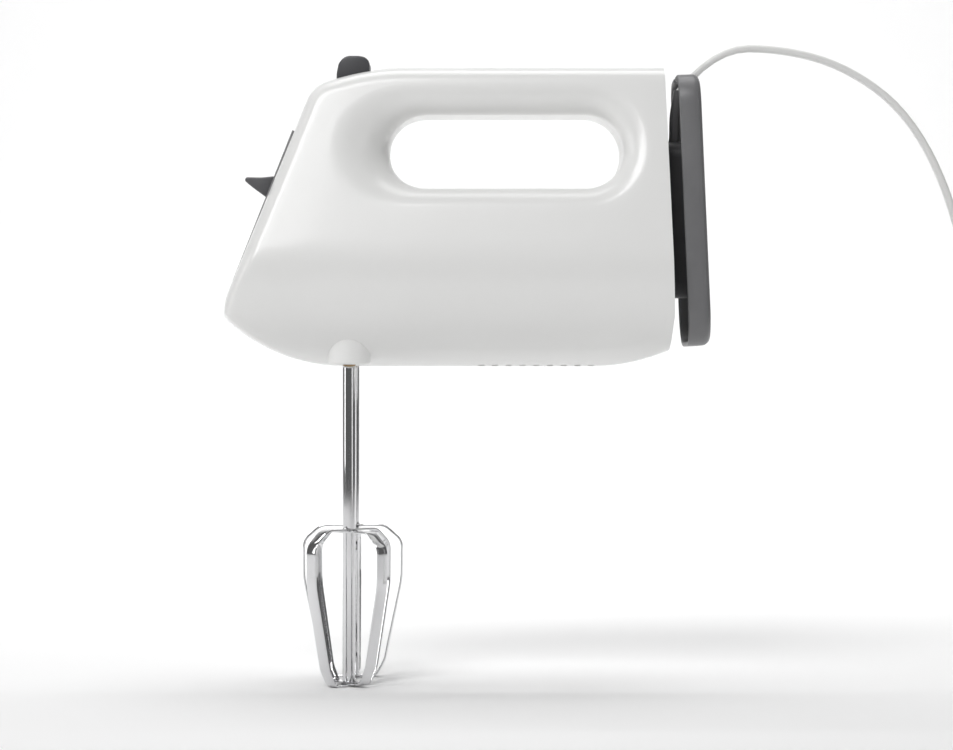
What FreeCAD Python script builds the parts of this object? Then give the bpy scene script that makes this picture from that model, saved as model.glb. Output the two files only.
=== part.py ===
import FreeCAD, Part
import math
import os
import re
from types import SimpleNamespace
from FreeCAD import Placement, Rotation, Vector

# Hand mixer, millimetres, +Z up.  The origin is the middle of the handle grip,
# +X points to the rear (the cord end) and -Y is the mixer's left side.
# Depths are measured down from the origin, so they are positive numbers.

SIZES = {
    # housing outline
    "body_rear": 68.9, "body_front": 122.3, "body_top": 10.9, "body_depth": 119.9,
    "side_lean": 15, "belly_radius": 40, "belly_depth": 80.5, "edge_radius": 5, "wall": 2.4,
    "brow_setback": 62.6, "brow_radius": 105, "shoulder_setback": 37.7, "shoulder_drop": 8,
    "shoulder_radius": 15, "nose_high": 27.9, "nose_radius": 24, "lip_high": 20.4,
    "lip_radius": 4.4, "chin_setback": 24.3, "chin_radius": 76, "heel_setback": 15.4,
    "heel_radius": 84, "heel_out": 1.7, "heel_high": 6.6, "rear_out": 3.2, "rear_high": 20.9,
    "rear_radius": 30,
    # inside the housing
    "boss_radius": 4.2, "screw_radius": 1.5, "screw_head_radius": 2.9, "screw_land": 14,
    "screw_reach": 10, "frame_screw_radius": 1.4, "frame_screw_side": 14, "post_radius": 4,
    "hub_screw_radius": 1.6,
    # finger slot through the housing
    "slot_half_length": 50.9, "slot_radius": 16.3, "slot_depth": 26.9,
    "flare_front": 14, "flare_top": 12, "flare_bottom": 8, "flare_rear": 10,
    "grip_channel": 8,
    # speed control on the front slope
    "panel_half_width": 13, "panel_up": 25, "panel_down": 45.5, "panel_recess": 1,
    "panel_proud": 0.5, "lever_depth": 40.5, "lever_half_width": 6.5, "lever_reach": 12.6,
    "stem_half_length": 3, "stem_half_width": 1.9, "pulse_travel": 5, "speed_travel": 25,
    # beater release
    "button_front": 6, "button_length": 14.6, "button_half_width": 10, "button_height": 15.9,
    "button_travel": 5, "eject_gap": 0.5, "arm_depth": 61, "arm_thickness": 4, "spring_low": 24,
    "collar_depth": 13,
    # drive
    "motor_depth": 84, "worm_radius": 5, "tooth_module": 1, "wheel_teeth": 28,
    "wheel_width": 7, "tooth_height": 0.65, "tooth_root": 0.95, "tooth_share": 0.34,
    "gear_setback": 54.3, "shaft_radius": 3, "spindle_radius": 4.75, "spindle_top": 76,
    "bush_radius": 6.6, "bush_length": 12, "socket_radius": 9.25, "socket_depth": 119.3,
    # beaters
    "rod_radius": 2.85, "head_top": 190.3, "tip_depth": 258.7,
    "head_radius": 22.35, "wire_width": 5.8, "wire_thickness": 1,
    # motor
    "core_front": 21, "core_length": 28, "rotor_radius": 14, "air_gap": 0.5,
    "stator_half_width": 26, "coil_room": 4.5, "yoke": 5, "pole_half_width": 9,
    "collector_radius": 9, "collector_length": 12, "collector_gap": 8, "bracket_reach": 25,
    "fan_radius": 22, "fan_length": 9,
    "bearing_radius": 6.5, "bearing_length": 5,
    # cord store at the rear
    "hub_half_width": 13, "hub_top": 21.6, "hub_bottom": 89.9,
    "flange_top": 7, "flange_bottom": 111.3, "flange_depth": 9.8, "flange_wall": 2,
    "flange_top_half_width": 25, "flange_bottom_half_width": 30, "flange_lean": 2.3,
    "flange_gap": 5.6, "notch_half_width": 4,
    # cord and plug
    "cord_radius": 2.7, "ring_radius": 30, "plug_width": 35.3, "plug_thickness": 13.7,
    "pin_radius": 2, "pin_length": 19, "pin_spacing": 19,
    # fits
    "running_gap": 0.05, "part_gap": 0.3,
}

doc = FreeCAD.newDocument("hand_mixer")
sheet = doc.addObject("Spreadsheet::Sheet", "sizes")
for row, (name, value) in enumerate(SIZES.items(), 1):
    sheet.set("A%d" % row, name)
    sheet.set("B%d" % row, str(value))
    sheet.setAlias("B%d" % row, name)
doc.recompute()
S = SimpleNamespace(**{name: float(getattr(sheet, name)) for name in SIZES})
nodes = []


# ---------------------------------------------------------------- helpers

def cell(text):
    """The expression with every size named as a cell of the sheet."""
    return re.sub(r"[a-z_]+", lambda word: "sizes." + word.group() if word.group() in SIZES
                  else word.group(), text)


def bind(thing, **sizes):
    for prop, text in sizes.items():
        thing.setExpression(prop.replace("__", "."), cell(text))
    return thing


def put(thing, at=("0", "0", "0"), turn=None):
    """Places a primitive: the three coordinates are expressions."""
    if turn is not None:
        thing.Placement = Placement(Vector(), turn)
    return bind(thing, Placement__Base__x=at[0], Placement__Base__y=at[1],
                Placement__Base__z=at[2])


ALONG_X = Rotation(Vector(0, 1, 0), 90)
ALONG_Y = Rotation(Vector(1, 0, 0), -90)
ALONG_Z = Rotation()


def cylinder(name, radius, length, at, turn=ALONG_Z):
    thing = doc.addObject("Part::Cylinder", name)
    return put(bind(thing, Radius=radius, Height=length), at, turn)


def block(name, low, span):
    thing = doc.addObject("Part::Box", name)
    return put(bind(thing, Length=span[0], Width=span[1], Height=span[2]), low)


def solid(name, shape):
    thing = doc.addObject("Part::Feature", name)
    thing.Shape = shape
    return thing


def join(name, things):
    thing = doc.addObject("Part::MultiFuse", name)
    thing.Shapes = list(things)
    return thing


def cut(name, base, tools):
    tools = list(tools)
    thing = doc.addObject("Part::Cut", name)
    thing.Base = base
    thing.Tool = tools[0] if len(tools) == 1 else join(name + "_tools", tools)
    return thing


def overlap(name, first, second):
    thing = doc.addObject("Part::Common", name)
    thing.Base, thing.Tool = first, second
    return thing


def node(thing, label):
    """Marks a finished sub-part; the label names its file."""
    thing.Label = label
    nodes.append(thing)
    return thing


def plane(body, role):
    return next(item for item in body.Origin.OriginFeatures if item.Role == role)


def sketch(body, role, edges):
    thing = body.newObject("Sketcher::SketchObject", "outline")
    thing.AttachmentSupport = (plane(body, role), [""])
    thing.MapMode = "FlatFace"
    for edge in edges:
        thing.addGeometry(edge, False)
    return thing


def polygon(points):
    flat = [Vector(u, v, 0) for u, v in points]
    return [Part.LineSegment(a, b) for a, b in zip(flat, flat[1:] + flat[:1])]


def turned(label, profile, at=Vector(), turn=ALONG_Z):
    """A body of revolution; the profile is (radius, height) pairs."""
    body = doc.addObject("PartDesign::Body", label)
    outline = sketch(body, "XZ_Plane", polygon(profile))
    spin = body.newObject("PartDesign::Revolution", "spin")
    spin.Profile = outline
    spin.ReferenceAxis = (outline, ["V_Axis"])
    spin.Angle = 360
    body.Placement = Placement(at, turn)
    return node(body, label)


def slab(label, edges, length, role="XY_Plane"):
    """A padded outline, centred on its plane; the length is an expression."""
    body = doc.addObject("PartDesign::Body", label)
    outline = sketch(body, role, edges)
    pad = body.newObject("PartDesign::Pad", "pad")
    pad.Profile = outline
    pad.Midplane = True
    bind(pad, Length=length)
    return body


def rounded_face(corners, place):
    """A face with a radius at each corner; place() maps (u, v) into space."""
    count = len(corners)
    spots = [Vector(u, v, 0) for u, v, radius in corners]
    bends = []
    for i, (u, v, radius) in enumerate(corners):
        back = (spots[i - 1] - spots[i]).normalize()
        ahead = (spots[(i + 1) % count] - spots[i]).normalize()
        half = back.getAngle(ahead) / 2
        reach = radius / math.tan(half)
        middle = spots[i] + (back + ahead).normalize() * radius * (1 / math.sin(half) - 1)
        bends.append((spots[i] + back * reach, middle, spots[i] + ahead * reach))
    edges = []
    for i, (start, middle, end) in enumerate(bends):
        if corners[i][2] > 0:
            edges.append(Part.Arc(place(start), place(middle), place(end)).toShape())
        after = bends[(i + 1) % count][0]
        if (after - end).Length > 1e-6:
            edges.append(Part.LineSegment(place(end), place(after)).toShape())
    return Part.Face(Part.Wire(edges))


def in_side_view(spot):
    return Vector(spot.x, 0, spot.y)


def in_rear_view(spot):
    return Vector(0, spot.x, spot.y)


def tube_along(points, radius):
    """A round tube on straight runs joined by tangent arcs, and its bend radii."""
    edges, radii, at = [], [], points[0]
    for before, corner, after in zip(points, points[1:], points[2:]):
        back, ahead = before - corner, after - corner
        half_turn = (math.pi - back.getAngle(ahead)) / 2
        bend = 0.45 * min(back.Length, ahead.Length) / math.tan(half_turn)
        reach = bend * math.tan(half_turn)
        start = corner + Vector(back).normalize() * reach
        end = corner + Vector(ahead).normalize() * reach
        inward = (Vector(back).normalize() + Vector(ahead).normalize()).normalize()
        middle = corner + inward * bend * (1 / math.cos(half_turn) - 1)
        edges.append(Part.LineSegment(at, start).toShape())
        edges.append(Part.Arc(start, middle, end).toShape())
        radii.append(bend)
        at = end
    edges.append(Part.LineSegment(at, points[-1]).toShape())
    path = Part.Wire(edges)
    heading = points[1] - points[0]
    section = Part.Wire(Part.makeCircle(radius, points[0], heading))
    shape = path.makePipeShell([section], True, False)
    return shape, path.Length, radii


# ---------------------------------------------------------------- places

GEAR_X = -(S.body_front - S.gear_setback)
WHEEL_RADIUS = S.wheel_teeth * S.tooth_module / 2
SPINDLE_Y = WHEEL_RADIUS + S.worm_radius
LEAD = math.pi * S.tooth_module
GEAR_AT = "-(body_front - gear_setback)"
SPINDLE_AT = "(wheel_teeth * tooth_module / 2 + worm_radius)"
SIDES = (("left", -1), ("right", 1))


# ---------------------------------------------------------------- housing

def side_corners():
    """The housing outline seen from its side, as (x, z, corner radius)."""
    front, rear, top, depth = S.body_front, S.body_rear, S.body_top, S.body_depth
    return [(rear, top, 0), (S.brow_setback - front, top, S.brow_radius),
            (S.shoulder_setback - front, top - S.shoulder_drop, S.shoulder_radius),
            (-front, S.nose_high - depth, S.nose_radius),
            (-front, S.lip_high - depth, S.lip_radius),
            (S.chin_setback - front, -depth, S.chin_radius),
            (rear - S.heel_setback, -depth, S.heel_radius),
            (rear + S.heel_out, S.heel_high - depth, 0),
            (rear + S.rear_out, S.rear_high - depth, S.rear_radius)]


def section_face():
    """The cross-section: leaning flat sides that run into a round belly."""
    lean = math.radians(S.side_lean)
    high = S.body_top + 20
    side_y = S.belly_radius * math.cos(lean)
    side_z = -S.belly_depth + S.belly_radius * math.sin(lean)
    top_y = side_y - (high - side_z) * math.tan(lean)
    left_top, right_top = Vector(0, -top_y, high), Vector(0, top_y, high)
    left, right = Vector(0, -side_y, side_z), Vector(0, side_y, side_z)
    bottom = Vector(0, 0, -S.belly_depth - S.belly_radius)
    return Part.Face(Part.Wire([
        Part.LineSegment(left_top, right_top).toShape(),
        Part.LineSegment(right_top, right).toShape(),
        Part.Arc(right, bottom, left).toShape(),
        Part.LineSegment(left, left_top).toShape()]))


def extruded(name, face, direction, length):
    thing = doc.addObject("Part::Extrusion", name)
    thing.Base = solid(name + "_outline", face)
    thing.DirMode = "Custom"
    thing.Dir = direction
    thing.Symmetric = True
    thing.Solid = True
    return bind(thing, LengthFwd=length)


def stadium(name, growth, half_length, radius, depth, span):
    """The finger slot's outline, grown all round, pushed through along Y."""
    middle = half_length - radius
    edge = radius + growth
    centre = -depth
    a, b = Vector(-middle, 0, centre + edge), Vector(middle, 0, centre + edge)
    c, d = Vector(middle, 0, centre - edge), Vector(-middle, 0, centre - edge)
    wire = Part.Wire([
        Part.LineSegment(a, b).toShape(),
        Part.Arc(b, Vector(half_length + growth, 0, centre), c).toShape(),
        Part.LineSegment(c, d).toShape(),
        Part.Arc(d, Vector(-half_length - growth, 0, centre), a).toShape()])
    return extruded(name, Part.Face(wire), Vector(0, 1, 0), span)


def slot_outline(name, growth, span="4 * belly_radius"):
    return stadium(name, growth, S.slot_half_length, S.slot_radius, S.slot_depth, span)


def outer_form():
    """The closed outer body with its rounded rims and flared finger slot."""
    side = extruded("side_form", rounded_face(side_corners(), in_side_view),
                    Vector(0, 1, 0), "4 * belly_radius")
    section = extruded("section_form", section_face(), Vector(1, 0, 0),
                       "4 * (body_front + body_rear)")
    body = overlap("body_form", side, section)
    doc.recompute()
    rims = []
    for index, edge in enumerate(body.Shape.Edges, 1):
        middle = edge.valueAt((edge.FirstParameter + edge.LastParameter) / 2)
        box = edge.BoundBox
        off_centre = box.YMax < -1 or box.YMin > 1
        on_side = box.YLength < 0.01 and box.ZLength < 0.01 and middle.z < 0
        in_floor = middle.z < 0.1 - S.body_depth
        if off_centre and middle.x < S.body_rear - 0.5 and (in_floor or not on_side):
            rims.append((index, S.edge_radius, S.edge_radius))
    smooth = doc.addObject("Part::Fillet", "body_rims")
    smooth.Base = body
    smooth.Edges = rims
    opened = cut("body_with_slot", smooth, [slot_outline("slot_cut", 0)])
    doc.recompute()
    flares = []
    reach = S.slot_half_length + 1
    for index, edge in enumerate(opened.Shape.Edges, 1):
        box = edge.BoundBox
        inside = box.XMin > -reach and box.XMax < reach
        level = box.ZMax < S.slot_radius - S.slot_depth + 1
        if not (inside and level and box.ZMin > -S.slot_depth - S.slot_radius - 1):
            continue
        if box.XLength < 5 or box.YLength > 15:
            continue
        ends = [edge.valueAt(edge.FirstParameter), edge.valueAt(edge.LastParameter)]
        flares.append((index, flare_at(ends[0]), flare_at(ends[1])))
    flared = doc.addObject("Part::Fillet", "outer_form")
    flared.Base = opened
    flared.Edges = flares
    return flared


def flare_at(spot):
    if spot.z > -S.slot_depth:
        return S.flare_front if spot.x < 0 else S.flare_top
    return (S.flare_front + S.flare_bottom) / 2 if spot.x < 0 else S.flare_rear


def cavity_form():
    """The hollow inside the walls: nose, motor chamber, rear post and grip channel."""
    side_face = rounded_face(side_corners(), in_side_view).makeOffset2D(-S.wall)
    section = section_face().makeOffset2D(-S.wall)
    side = extruded("side_hollow", side_face, Vector(0, 1, 0), "4 * belly_radius")
    across = extruded("section_hollow", section, Vector(1, 0, 0),
                      "4 * (body_front + body_rear)")
    hollow = overlap("hollow", side, across)
    tight = slot_outline("slot_wall", S.wall)
    wide = slot_outline("flare_room", S.flare_front + S.wall)
    channel = block("grip_room", ("-body_front", "-grip_channel", "-body_depth"),
                    ("2 * body_front", "2 * grip_channel", "2 * body_depth"))
    flare_only = cut("flare_wall", wide, [channel])
    return cut("cavity", hollow, [tight, flare_only])


def slope_frame():
    """Down the front slope, across, and out of it; its origin is at the lever."""
    high = Vector(S.shoulder_setback - S.body_front, 0, S.body_top - S.shoulder_drop)
    low = Vector(-S.body_front, 0, S.nose_high - S.body_depth)
    down = (low - high).normalize()
    out = Vector(down.z, 0, -down.x)
    share = (high.z + S.lever_depth) / (high.z - low.z)
    origin = high + (low - high) * share
    return Placement(origin, Rotation(down, Vector(0, -1, 0), out, "ZXY"))


SLOPE = slope_frame()


def slope_block(name, low, high):
    """A box in the slope's own directions: down it, across it and out of it."""
    corner, end = Vector(*low), Vector(*high)
    span = end - corner
    return solid(name, Part.makeBox(span.x, span.y, span.z, corner).transformed(
        SLOPE.toMatrix()))


def lever_slit():
    """The slit that the lever's stem slides in, through the panel and the wall."""
    spare = 0.6
    up = S.stem_half_length + S.pulse_travel + spare
    down = S.stem_half_length + S.speed_travel + spare
    side = S.stem_half_width + S.part_gap
    return slope_block("lever_slit", (-up, -side, -9), (down, side, 5))


HUB_SCREWS = (-38, -78)
FRAME_SCREWS = (("front", -20), ("rear", 18))
SCREW_SPOTS = ((39.3 - S.body_front, -12), (16.3 - S.body_front, 25.9 - S.body_depth),
               (-34, 9.9 - S.body_depth), (S.body_rear - 8.9, 15.9 - S.body_depth),
               (S.body_rear - 7.4, S.body_top - 7.9))


def housing_halves():
    outer = outer_form()
    cavity = cavity_form()
    walls = cut("walls", outer, [cavity])
    bosses = []
    pilots = []
    for index, (x, z) in enumerate(SCREW_SPOTS):
        boss = cylinder("boss_%d" % index, "boss_radius", "4 * belly_radius",
                        (str(x), "-2 * belly_radius", str(z)), ALONG_Y)
        bosses.append(boss)
    for x in (-17, 3):
        for side, sign in SIDES:
            low = "stator_half_width" if sign > 0 else "-stator_half_width - 20"
            bosses.append(block("cradle_%s_%d" % (side, abs(x)),
                                (str(x - 1.5), low, "-motor_depth - 16"), ("3", "20", "32")))
    for side, sign in SIDES:
        for name, x in FRAME_SCREWS:
            at = (GEAR_AT + " + %d" % x, "%d * frame_screw_side" % sign)
            bosses.append(cylinder("post_%s_%s" % (side, name), "post_radius", "23",
                                   at + ("-motor_depth - 36",)))
            pilots.append(cylinder("post_pilot", "frame_screw_radius", "9",
                                   at + ("-motor_depth - 20",)))
        bosses.append(block("ledge_" + side, ("-body_front + 10", str(sign * 19 - 3),
                                              "-motor_depth - 36"), ("14", "6", "20")))
    bosses.append(block("spring_seat",
                        (GEAR_AT + " - 8", "-2 * belly_radius", "-spring_low - 2"),
                        ("16", "4 * belly_radius", "2")))
    trimmed = overlap("inner_walls", join("all_bosses", bosses), outer)
    sockets = [cylinder("socket_" + side, "socket_radius", "16",
                        (GEAR_AT, "%d * %s" % (sign, SPINDLE_AT), "-socket_depth"))
               for side, sign in SIDES]
    built = join("walls_and_bosses", [walls, trimmed] + sockets)
    holes = pilots
    for side, sign in SIDES:
        holes.append(cylinder("bush_seat_" + side, "bush_radius", "30",
                              (GEAR_AT, "%d * %s" % (sign, SPINDLE_AT), "-socket_depth - 1")))
    for x, z in SCREW_SPOTS:
        holes.append(cylinder("pilot", "screw_radius", "screw_reach + screw_land + 4",
                              (str(x), "-screw_reach - 2", str(z)), ALONG_Y))
        holes.append(cylinder("head_pocket", "screw_head_radius + part_gap",
                              "3 * belly_radius", (str(x), "screw_land", str(z)), ALONG_Y))
    holes.append(lever_slit())
    holes.append(slope_block("panel_recess", (-S.panel_up, -S.panel_half_width,
                                              -S.panel_recess),
                             (S.panel_down, S.panel_half_width, 5)))
    holes.append(block("button_hole",
                       (GEAR_AT + " - button_front - part_gap",
                        "-button_half_width - part_gap", "-5"),
                       ("button_length + 2 * part_gap",
                        "2 * (button_half_width + part_gap)", "30")))
    holes.append(block("cord_hole", ("body_rear - 8", "-notch_half_width", "-hub_top - 9"),
                       ("20", "2 * notch_half_width", "9.4")))
    holes.append(block("eject_hole", (GEAR_AT + " - 3.3", "-4.3", "-arm_depth"),
                       ("6.6", "8.6", "arm_depth")))
    for z in HUB_SCREWS:
        holes.append(cylinder("hub_screw_hole", "hub_screw_radius", "20",
                              ("body_rear - 8", "0", str(z)), ALONG_X))
    for side, sign in SIDES:
        for index in range(9):
            holes.append(block("vent", ("%g" % (-12 + 6 * index), str(sign * 5.5 - 4),
                                        "-body_depth - 5"), ("2.6", "8", "12")))
    shell = cut("shell", built, holes)
    for side, sign in SIDES:
        low = "0" if sign > 0 else "-3 * belly_radius"
        half = block("space_" + side, ("-2 * body_front", low, "-2 * body_depth"),
                     ("4 * body_front", "3 * belly_radius", "4 * body_depth"))
        node(overlap("housing_" + side, shell, half), "housing_" + side)


def housing_screws():
    """Pan-head screws with a cross recess, driven from the right side."""
    across = Vector(0, 1, 0)
    head_high, cross_deep, cross_long, cross_wide = 2.2, 1, 3.6, 0.8
    screws = []
    for x, z in SCREW_SPOTS:
        start = Vector(x, -S.screw_reach, z)
        seat = Vector(x, S.screw_land, z)
        stem = Part.makeCylinder(S.screw_radius, S.screw_reach + S.screw_land, start, across)
        head = Part.makeCylinder(S.screw_head_radius, head_high, seat, across)
        top = seat + across * (head_high - cross_deep)
        bars = [Part.makeBox(wide, cross_deep, tall, top - Vector(wide / 2, 0, tall / 2))
                for wide, tall in ((cross_long, cross_wide), (cross_wide, cross_long))]
        screws.append(stem.fuse(head).cut(bars).removeSplitter())
    node(solid("housing_screws", Part.Compound(screws)), "housing_screws")


# ---------------------------------------------------------------- controls

def control_panel():
    plate = slope_block("panel_plate", (-S.panel_up, -S.panel_half_width, -S.panel_recess),
                        (S.panel_down, S.panel_half_width, S.panel_proud))
    node(cut("control_panel", plate, [lever_slit()]), "control_panel")


def speed_lever():
    """A finger fin on a flat foot, with a stem through the slit."""
    foot = S.panel_proud + 0.2
    reach = S.lever_reach
    profile = [(-4.0, foot, 0), (1.1, reach, 0.7), (2.9, reach, 0.7), (6.3, foot, 0)]
    face = rounded_face(profile, lambda spot: Vector(spot.x, 0, spot.y))
    face.translate(Vector(0, -S.lever_half_width, 0))
    fin = face.extrude(Vector(0, 2 * S.lever_half_width, 0))
    rims = [edge for edge in fin.Edges if abs(edge.BoundBox.YLength) < 0.01
            and edge.BoundBox.ZMax > foot + 0.1]
    fin = fin.makeFillet(0.8, rims)
    stem = Part.makeBox(2 * S.stem_half_length, 2 * S.stem_half_width, foot + 5.8,
                        Vector(-S.stem_half_length, -S.stem_half_width, -5.3))
    lever = fin.fuse(stem).removeSplitter()
    node(solid("speed_lever", lever.transformed(SLOPE.toMatrix())), "speed_lever")
    node(slope_block("switch_slider", (-5, -6, -8), (5, 6, -5.3)), "switch_slider")


def speed_switch():
    node(slope_block("speed_switch", (-14, -11, -19.5), (34, 11, -8.6)), "speed_switch")


def control_board():
    board = block("board_plate", ("-body_front + 9.5", "-22", "-motor_depth - 16"),
                  ("17.5", "44", "1.6"))
    node(board, "control_board")
    triac = block("triac_body", ("-body_front + 22", "-10", "-motor_depth - 14.4"),
                  ("4.6", "10", "12"))
    node(triac, "triac")
    can = block("capacitor_body", ("body_rear - 22", "-7", "-motor_depth - 7"),
                ("13", "14", "14"))
    node(can, "suppression_capacitor")


# ---------------------------------------------------------------- beater release

def eject_button():
    """A sloped key on top, over a bar that reaches down to the beater rods."""
    front = GEAR_X - S.button_front
    rear = front + S.button_length
    high = S.button_height
    inside = 2
    profile = [(front, inside, 0), (front, high - 8, 0.6), (front + 1.6, high - 2, 1.5),
               (front + 4.4, high, 1.5), (rear - 3.2, high, 1.2), (rear, high - 2.6, 1.2),
               (rear, inside, 0)]
    face = rounded_face(profile, in_side_view)
    face.translate(Vector(0, -S.button_half_width, 0))
    key = face.extrude(Vector(0, 2 * S.button_half_width, 0))
    rims = [edge for edge in key.Edges if edge.BoundBox.YLength < 0.01
            and edge.BoundBox.ZMin > inside + 1]
    key = key.makeFillet(0.55, rims)
    node(solid("eject_button", key), "eject_button")


def eject_bar():
    stem = block("eject_stem", (GEAR_AT + " - 3", "-4", "-arm_depth"),
                 ("6", "8", "arm_depth + 2"))
    arm = block("eject_arm", (GEAR_AT + " - 4", "-22", "-arm_depth - arm_thickness"),
                ("8", "44", "arm_thickness"))
    collar = block("eject_collar", (GEAR_AT + " - 6.3", "-6.5", "-collar_depth"),
                   ("12.6", "13", "2.5"))
    node(join("eject_bar", [stem, arm, collar]), "eject_bar")


def coil_spring(wire, radius, room, turns):
    """A helix of wire with an eight-sided section, standing on Z."""
    helix = Part.makeHelix(room / turns, room, radius)
    spots = []
    for step in range(8):
        angle = math.radians(45 * step)
        spots.append(Vector(radius + wire * math.cos(angle), 0, wire * math.sin(angle)))
    section = Part.makePolygon(spots + spots[:1])
    return Part.Wire(helix.Edges).makePipeShell([section], True, True)


def eject_spring():
    """The return spring round the bar, from a seat in the housing to its collar."""
    wire, end_gap = 0.45, 0.05
    room = S.spring_low - S.collar_depth - 2 * (wire + end_gap)
    spring = coil_spring(wire, 6.1, room, 4)
    spring.translate(Vector(GEAR_X, 0, -S.spring_low + wire + end_gap))
    node(solid("eject_spring", spring), "eject_spring")


# ---------------------------------------------------------------- drive train

def thread():
    """The worm's thread as one swept solid, its crest at GEAR_X on the right side."""
    turns = 5
    crest_taper, root_taper, sunk = 0.24, 0.34, 0.25
    root = S.worm_radius - S.tooth_root
    crest = S.worm_radius + S.tooth_height
    half_crest = LEAD * S.tooth_share / 2 - crest_taper
    half_root = LEAD * S.tooth_share / 2 + root_taper
    helix = Part.makeHelix(LEAD, LEAD * turns, root)
    inner = root - sunk
    points = [Vector(inner, 0, -half_root), Vector(crest, 0, -half_crest),
              Vector(crest, 0, half_crest), Vector(inner, 0, half_root)]
    section = Part.makePolygon(points + points[:1])
    swept = Part.Wire(helix.Edges).makePipeShell([section], True, True)
    # the helix is made along Z from +X; turn it along X, starting on the +Y side
    to_x = Rotation(Vector(0, 0, 1), Vector(1, 0, 0))
    start = to_x.multVec(Vector(1, 0, 0))
    angle = math.degrees(math.atan2(start.z, start.y))
    about_x = Rotation(Vector(1, 0, 0), -angle)
    place = Placement(Vector(GEAR_X - LEAD * turns / 2 + LEAD / 2, 0, -S.motor_depth),
                      about_x.multiply(to_x))
    swept.Placement = place.multiply(swept.Placement)
    return swept


def worm_shaft():
    root = S.worm_radius - S.tooth_root
    at = Vector(0, 0, -S.motor_depth)
    along = Vector(1, 0, 0)
    front = GEAR_X - 21
    rear = S.core_length - S.core_front + 34
    shaft = Part.makeCylinder(S.shaft_radius, rear - front, at + along * front, along)
    core = Part.makeCylinder(root, 22, at + along * (GEAR_X - 11), along)
    worm = shaft.fuse([core, thread()]).removeSplitter()
    node(solid("worm_shaft", worm), "worm_shaft")


def worm_wheel(side, sign):
    """28 slanted teeth on a boss; one tooth space or tooth faces the worm."""
    half = S.wheel_width / 2
    root = WHEEL_RADIUS - S.tooth_root
    tip = WHEEL_RADIUS + S.tooth_height
    half_tip = LEAD * S.tooth_share / 2 - 0.22
    half_root = LEAD * S.tooth_share / 2 + 0.22
    slant = LEAD / (2 * math.pi * S.worm_radius)
    disc = Part.makeCylinder(root, S.wheel_width, Vector(0, 0, -half))
    shift = slant * half
    face = Part.Face(Part.makePolygon([
        Vector(root - 0.4, half_root + shift, -half), Vector(tip, half_tip + shift, -half),
        Vector(tip, -half_tip + shift, -half), Vector(root - 0.4, -half_root + shift, -half),
        Vector(root - 0.4, half_root + shift, -half)]))
    tooth = face.extrude(Vector(0, -2 * shift, S.wheel_width))
    # towards the worm: a tooth stands there on the left wheel, a space on the right
    count = int(S.wheel_teeth)
    towards = 90 if sign < 0 else -90 + 180 / count
    teeth = []
    for index in range(count):
        one = tooth.copy()
        one.rotate(Vector(), Vector(0, 0, 1), towards + 360 / count * index)
        teeth.append(one)
    wheel = disc.fuse(teeth).removeSplitter()
    wheel = wheel.cut(Part.makeCylinder(S.spindle_radius, 30, Vector(0, 0, -15)))
    wheel.translate(Vector(GEAR_X, sign * SPINDLE_Y, -S.motor_depth))
    node(solid("worm_wheel_" + side, wheel), "worm_wheel_" + side)


def spindle(side, sign):
    """The hollow spindle that turns a beater, running in its bush."""
    bore = S.rod_radius + S.running_gap
    profile = [(bore, -S.spindle_top), (S.spindle_radius, -S.spindle_top),
               (S.spindle_radius, -S.socket_depth + 0.6), (bore + 0.6, -S.socket_depth + 0.6),
               (bore, -S.socket_depth + 1.2)]
    turned("spindle_" + side, profile, Vector(GEAR_X, sign * SPINDLE_Y, 0))


def spindle_bush(side, sign):
    inner = S.spindle_radius + S.running_gap
    low = -S.socket_depth + 0.2
    turned("spindle_bush_" + side,
           [(inner, low), (S.bush_radius, low), (S.bush_radius, low + S.bush_length),
            (inner, low + S.bush_length)], Vector(GEAR_X, sign * SPINDLE_Y, 0))


def gearbox_frame():
    """A tray under the wheels with the front bearing wall and a nose post."""
    low = "-motor_depth - 13"
    post_high = "18"
    tray = block("tray", (GEAR_AT + " - 25", "-30", low), ("51", "60", "3"))
    wall = block("bearing_wall", (GEAR_AT + " + 22", "-20", low), ("4", "40", "27"))
    post = block("nose_post", (GEAR_AT + " - 24.5", "-7", low), ("4", "14", post_high))
    holes = [cylinder("spindle_hole_" + side, "spindle_radius + running_gap", "20",
                      (GEAR_AT, "%d * %s" % (sign, SPINDLE_AT), "-motor_depth - 20"))
             for side, sign in SIDES]
    holes.append(cylinder("bearing_seat", "bearing_radius", "20",
                          (GEAR_AT + " + 15", "0", "-motor_depth"), ALONG_X))
    holes.append(cylinder("nose_seat", "shaft_radius + running_gap", "20",
                          (GEAR_AT + " - 21.5", "0", "-motor_depth"), ALONG_X))
    for side, sign in SIDES:
        for name, x in FRAME_SCREWS:
            holes.append(cylinder("fixing", "frame_screw_radius", "20",
                                  (GEAR_AT + " + %d" % x, "%d * frame_screw_side" % sign,
                                   "-motor_depth - 30")))
    node(cut("gearbox_frame", join("frame_walls", [tray, wall, post]), holes),
         "gearbox_frame")


def frame_screws():
    screws = []
    for side, sign in SIDES:
        for name, x in FRAME_SCREWS:
            seat = Vector(GEAR_X + x, sign * S.frame_screw_side, -S.motor_depth - 10)
            length = 9
            stem = Part.makeCylinder(S.frame_screw_radius, length, seat - Vector(0, 0, length))
            head = Part.makeCylinder(S.frame_screw_radius + 1.3, 1.8, seat)
            screws.append(stem.fuse(head).removeSplitter())
    node(solid("frame_screws", Part.Compound(screws)), "frame_screws")


# ---------------------------------------------------------------- motor

MOTOR_FRONT = -S.core_front
MOTOR_REAR = S.core_length - S.core_front
STATOR_HALF_HEIGHT = S.rotor_radius + S.air_gap + S.coil_room + S.yoke
STATOR_SCREW_Y = S.stator_half_width - 2.6


def at_motor(x):
    return Vector(x, 0, -S.motor_depth)


def ring_part(label, inner, outer, x, length):
    turned(label, [(inner, 0), (outer, 0), (outer, length), (inner, length)],
           at_motor(x), ALONG_X)


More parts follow.
